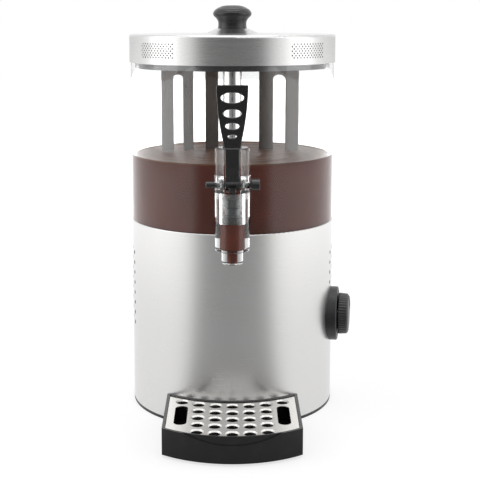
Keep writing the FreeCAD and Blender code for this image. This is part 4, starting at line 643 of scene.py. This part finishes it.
class DISPENSER_OT_studio(bpy.types.Operator):
    """The pale floor, the soft lights and the camera"""
    bl_idname = "dispenser.studio"
    bl_label = "Studio"

    def execute(self, context):
        scene = context.scene
        floor_grid = np.stack(np.meshgrid(np.linspace(-6, 6, 3), np.linspace(-6, 6, 3), indexing="ij")
                              + [np.zeros((3, 3))], axis=-1)
        floor = surface("studio_floor", floor_grid)
        floor.data.shade_flat()
        r = Recipe("studio_floor")
        seen = r.node("ShaderNodeLightPath", {}, {}, "Is Camera Ray")
        mirrored, through = (r.node("ShaderNodeLightPath", {}, {}, name)
                             for name in ("Is Glossy Ray", "Is Transmission Ray"))
        tone = r.noise(2.0, 2.0, 0.5)
        x, y = r.axis("X"), r.axis("Y")
        distance = (x * x + y * y) ** 0.5
        away = distance.band(0.35, 1.3)
        ahead = (y * -1.0 / (distance + 0.0001)).band(*FRONT_EDGE)
        r.set(Base_Color=r.mix(tone, (0.33, 0.33, 0.33), (0.35, 0.35, 0.35)), Roughness=0.9)
        r.shader.inputs["Specular IOR Level"].default_value = 0.0
        glow = r.node("ShaderNodeEmission", {}, {"Color": SCREEN_WHITE, "Strength": (
            seen + (mirrored + through) * (ahead * -1.0 + 1.1)) * (away * 0.35 + 0.72)})
        total = r.node("ShaderNodeAddShader", {}, {1: glow})
        r.tree.links.new(r.shader.outputs[0], total.socket.node.inputs[0])
        r.tree.links.new(total.socket, r.tree.nodes["Material Output"].inputs["Surface"])
        floor.data.materials.append(r.material)
        self.world(scene)
        for name, size, place, aim, power in (
                ("left_softbox", (1.1, 1.6), (-1.5, -0.3, 0.8), (0, 0, 0.2), 6.0),
                ("right_softbox", (1.1, 1.6), (1.5, -0.3, 0.8), (0, 0, 0.2), 5.0),
                ("top_softbox", (1.2, 1.2), (0.0, 0.1, 1.7), (0, 0, 0.2), 9.0)):
            lamp = bpy.data.lights.new(name, "AREA")
            lamp.shape = "RECTANGLE"
            lamp.size, lamp.size_y = size
            lamp.energy = power
            holder = bpy.data.objects.new(name, lamp)
            scene.collection.objects.link(holder)
            self.point(holder, place, aim)
        camera = bpy.data.cameras.new("camera")
        camera.lens, camera.sensor_width = 80.95, 36.0
        camera.shift_x, camera.shift_y = 0.016, -0.14
        camera.clip_start, camera.clip_end = 0.05, 20.0
        holder = bpy.data.objects.new("camera", camera)
        scene.collection.objects.link(holder)
        holder.location = (0.0, -1.1227, 0.4005)
        holder.rotation_euler = (math.radians(90 - 8.15), 0, 0)
        scene.camera = holder
        scene.view_settings.view_transform = "Standard"
        return {"FINISHED"}

    def world(self, scene):
        """White all round, with a dark front, as behind a photographer. Its brightness follows the
        direction's Y: 1.15 from the sides and back, 0.1 straight ahead of the machine. What shines through
        clear plastic from far sideways is 30% darker, which draws the tank's edges."""
        world = bpy.data.worlds.new("studio")
        scene.world = world
        world.use_nodes = True
        r = Recipe("studio", world)
        y = r.axis("Y")
        z = r.axis("Z")
        front = (y * -1.0).band(*FRONT_EDGE) * z.band(0.05, 0.35, 1.0, 0.25)
        light = front * -1.05 + 1.15
        seen, mirrored, through = (r.node("ShaderNodeLightPath", {}, {}, name) for name in (
            "Is Camera Ray", "Is Glossy Ray", "Is Transmission Ray"))
        back = y.band(0.15, 0.9) * z.band(-0.15, 0.12, -0.5, 0.0) * (1 - through) + 1.0
        edge = through * r.axis("X").math("ABSOLUTE", 0.0).band(0.35, 0.8) * -0.3 + 1.0
        strength = light * back * (mirrored.math("MAXIMUM", through) * 0.5 + 0.5) * edge * (1 - seen) + seen
        background = r.tree.nodes["Background"]
        background.inputs["Color"].default_value = (*SCREEN_WHITE, 1.0)
        r.tree.links.new(strength.socket, background.inputs["Strength"])

    def point(self, holder, place, aim):
        """Puts a lamp at a place, looking at a point."""
        holder.location = place
        holder.rotation_euler = (Vector(aim) - Vector(place)).to_track_quat("-Z", "Y").to_euler()


OPERATORS = (
    DISPENSER_OT_steel,
    DISPENSER_OT_mouldings,
    DISPENSER_OT_clear,
    DISPENSER_OT_lid_knob,
    DISPENSER_OT_dial,
    DISPENSER_OT_lever,
    DISPENSER_OT_springs,
    DISPENSER_OT_chocolate,
    DISPENSER_OT_studio,
)


class DISPENSER_PT_panel(bpy.types.Panel):
    """Lists the dispenser's steps in the sidebar"""
    bl_idname = "DISPENSER_PT_panel"
    bl_label = "Dispenser"
    bl_space_type = "VIEW_3D"
    bl_region_type = "UI"
    bl_category = "Dispenser"

    def draw(self, context):
        for group in (context.scene.dispenser_colours, context.scene.dispenser_sizes):
            for name in group.__annotations__:
                self.layout.prop(group, name)
        for operator in OPERATORS:
            self.layout.operator(operator.bl_idname)


CLASSES = (DispenserColours, DispenserSizes) + OPERATORS + (DISPENSER_PT_panel,)


def register():
    for cls in CLASSES:
        bpy.utils.register_class(cls)
    bpy.types.Scene.dispenser_colours = bpy.props.PointerProperty(type=DispenserColours)
    bpy.types.Scene.dispenser_sizes = bpy.props.PointerProperty(type=DispenserSizes)


def unregister():
    del bpy.types.Scene.dispenser_sizes
    del bpy.types.Scene.dispenser_colours
    for cls in reversed(CLASSES):
        bpy.utils.unregister_class(cls)


def main():
    register()
    for operator in OPERATORS:
        getattr(bpy.ops.dispenser, operator.bl_idname.split(".")[1])()


if __name__ == "__main__":
    main()
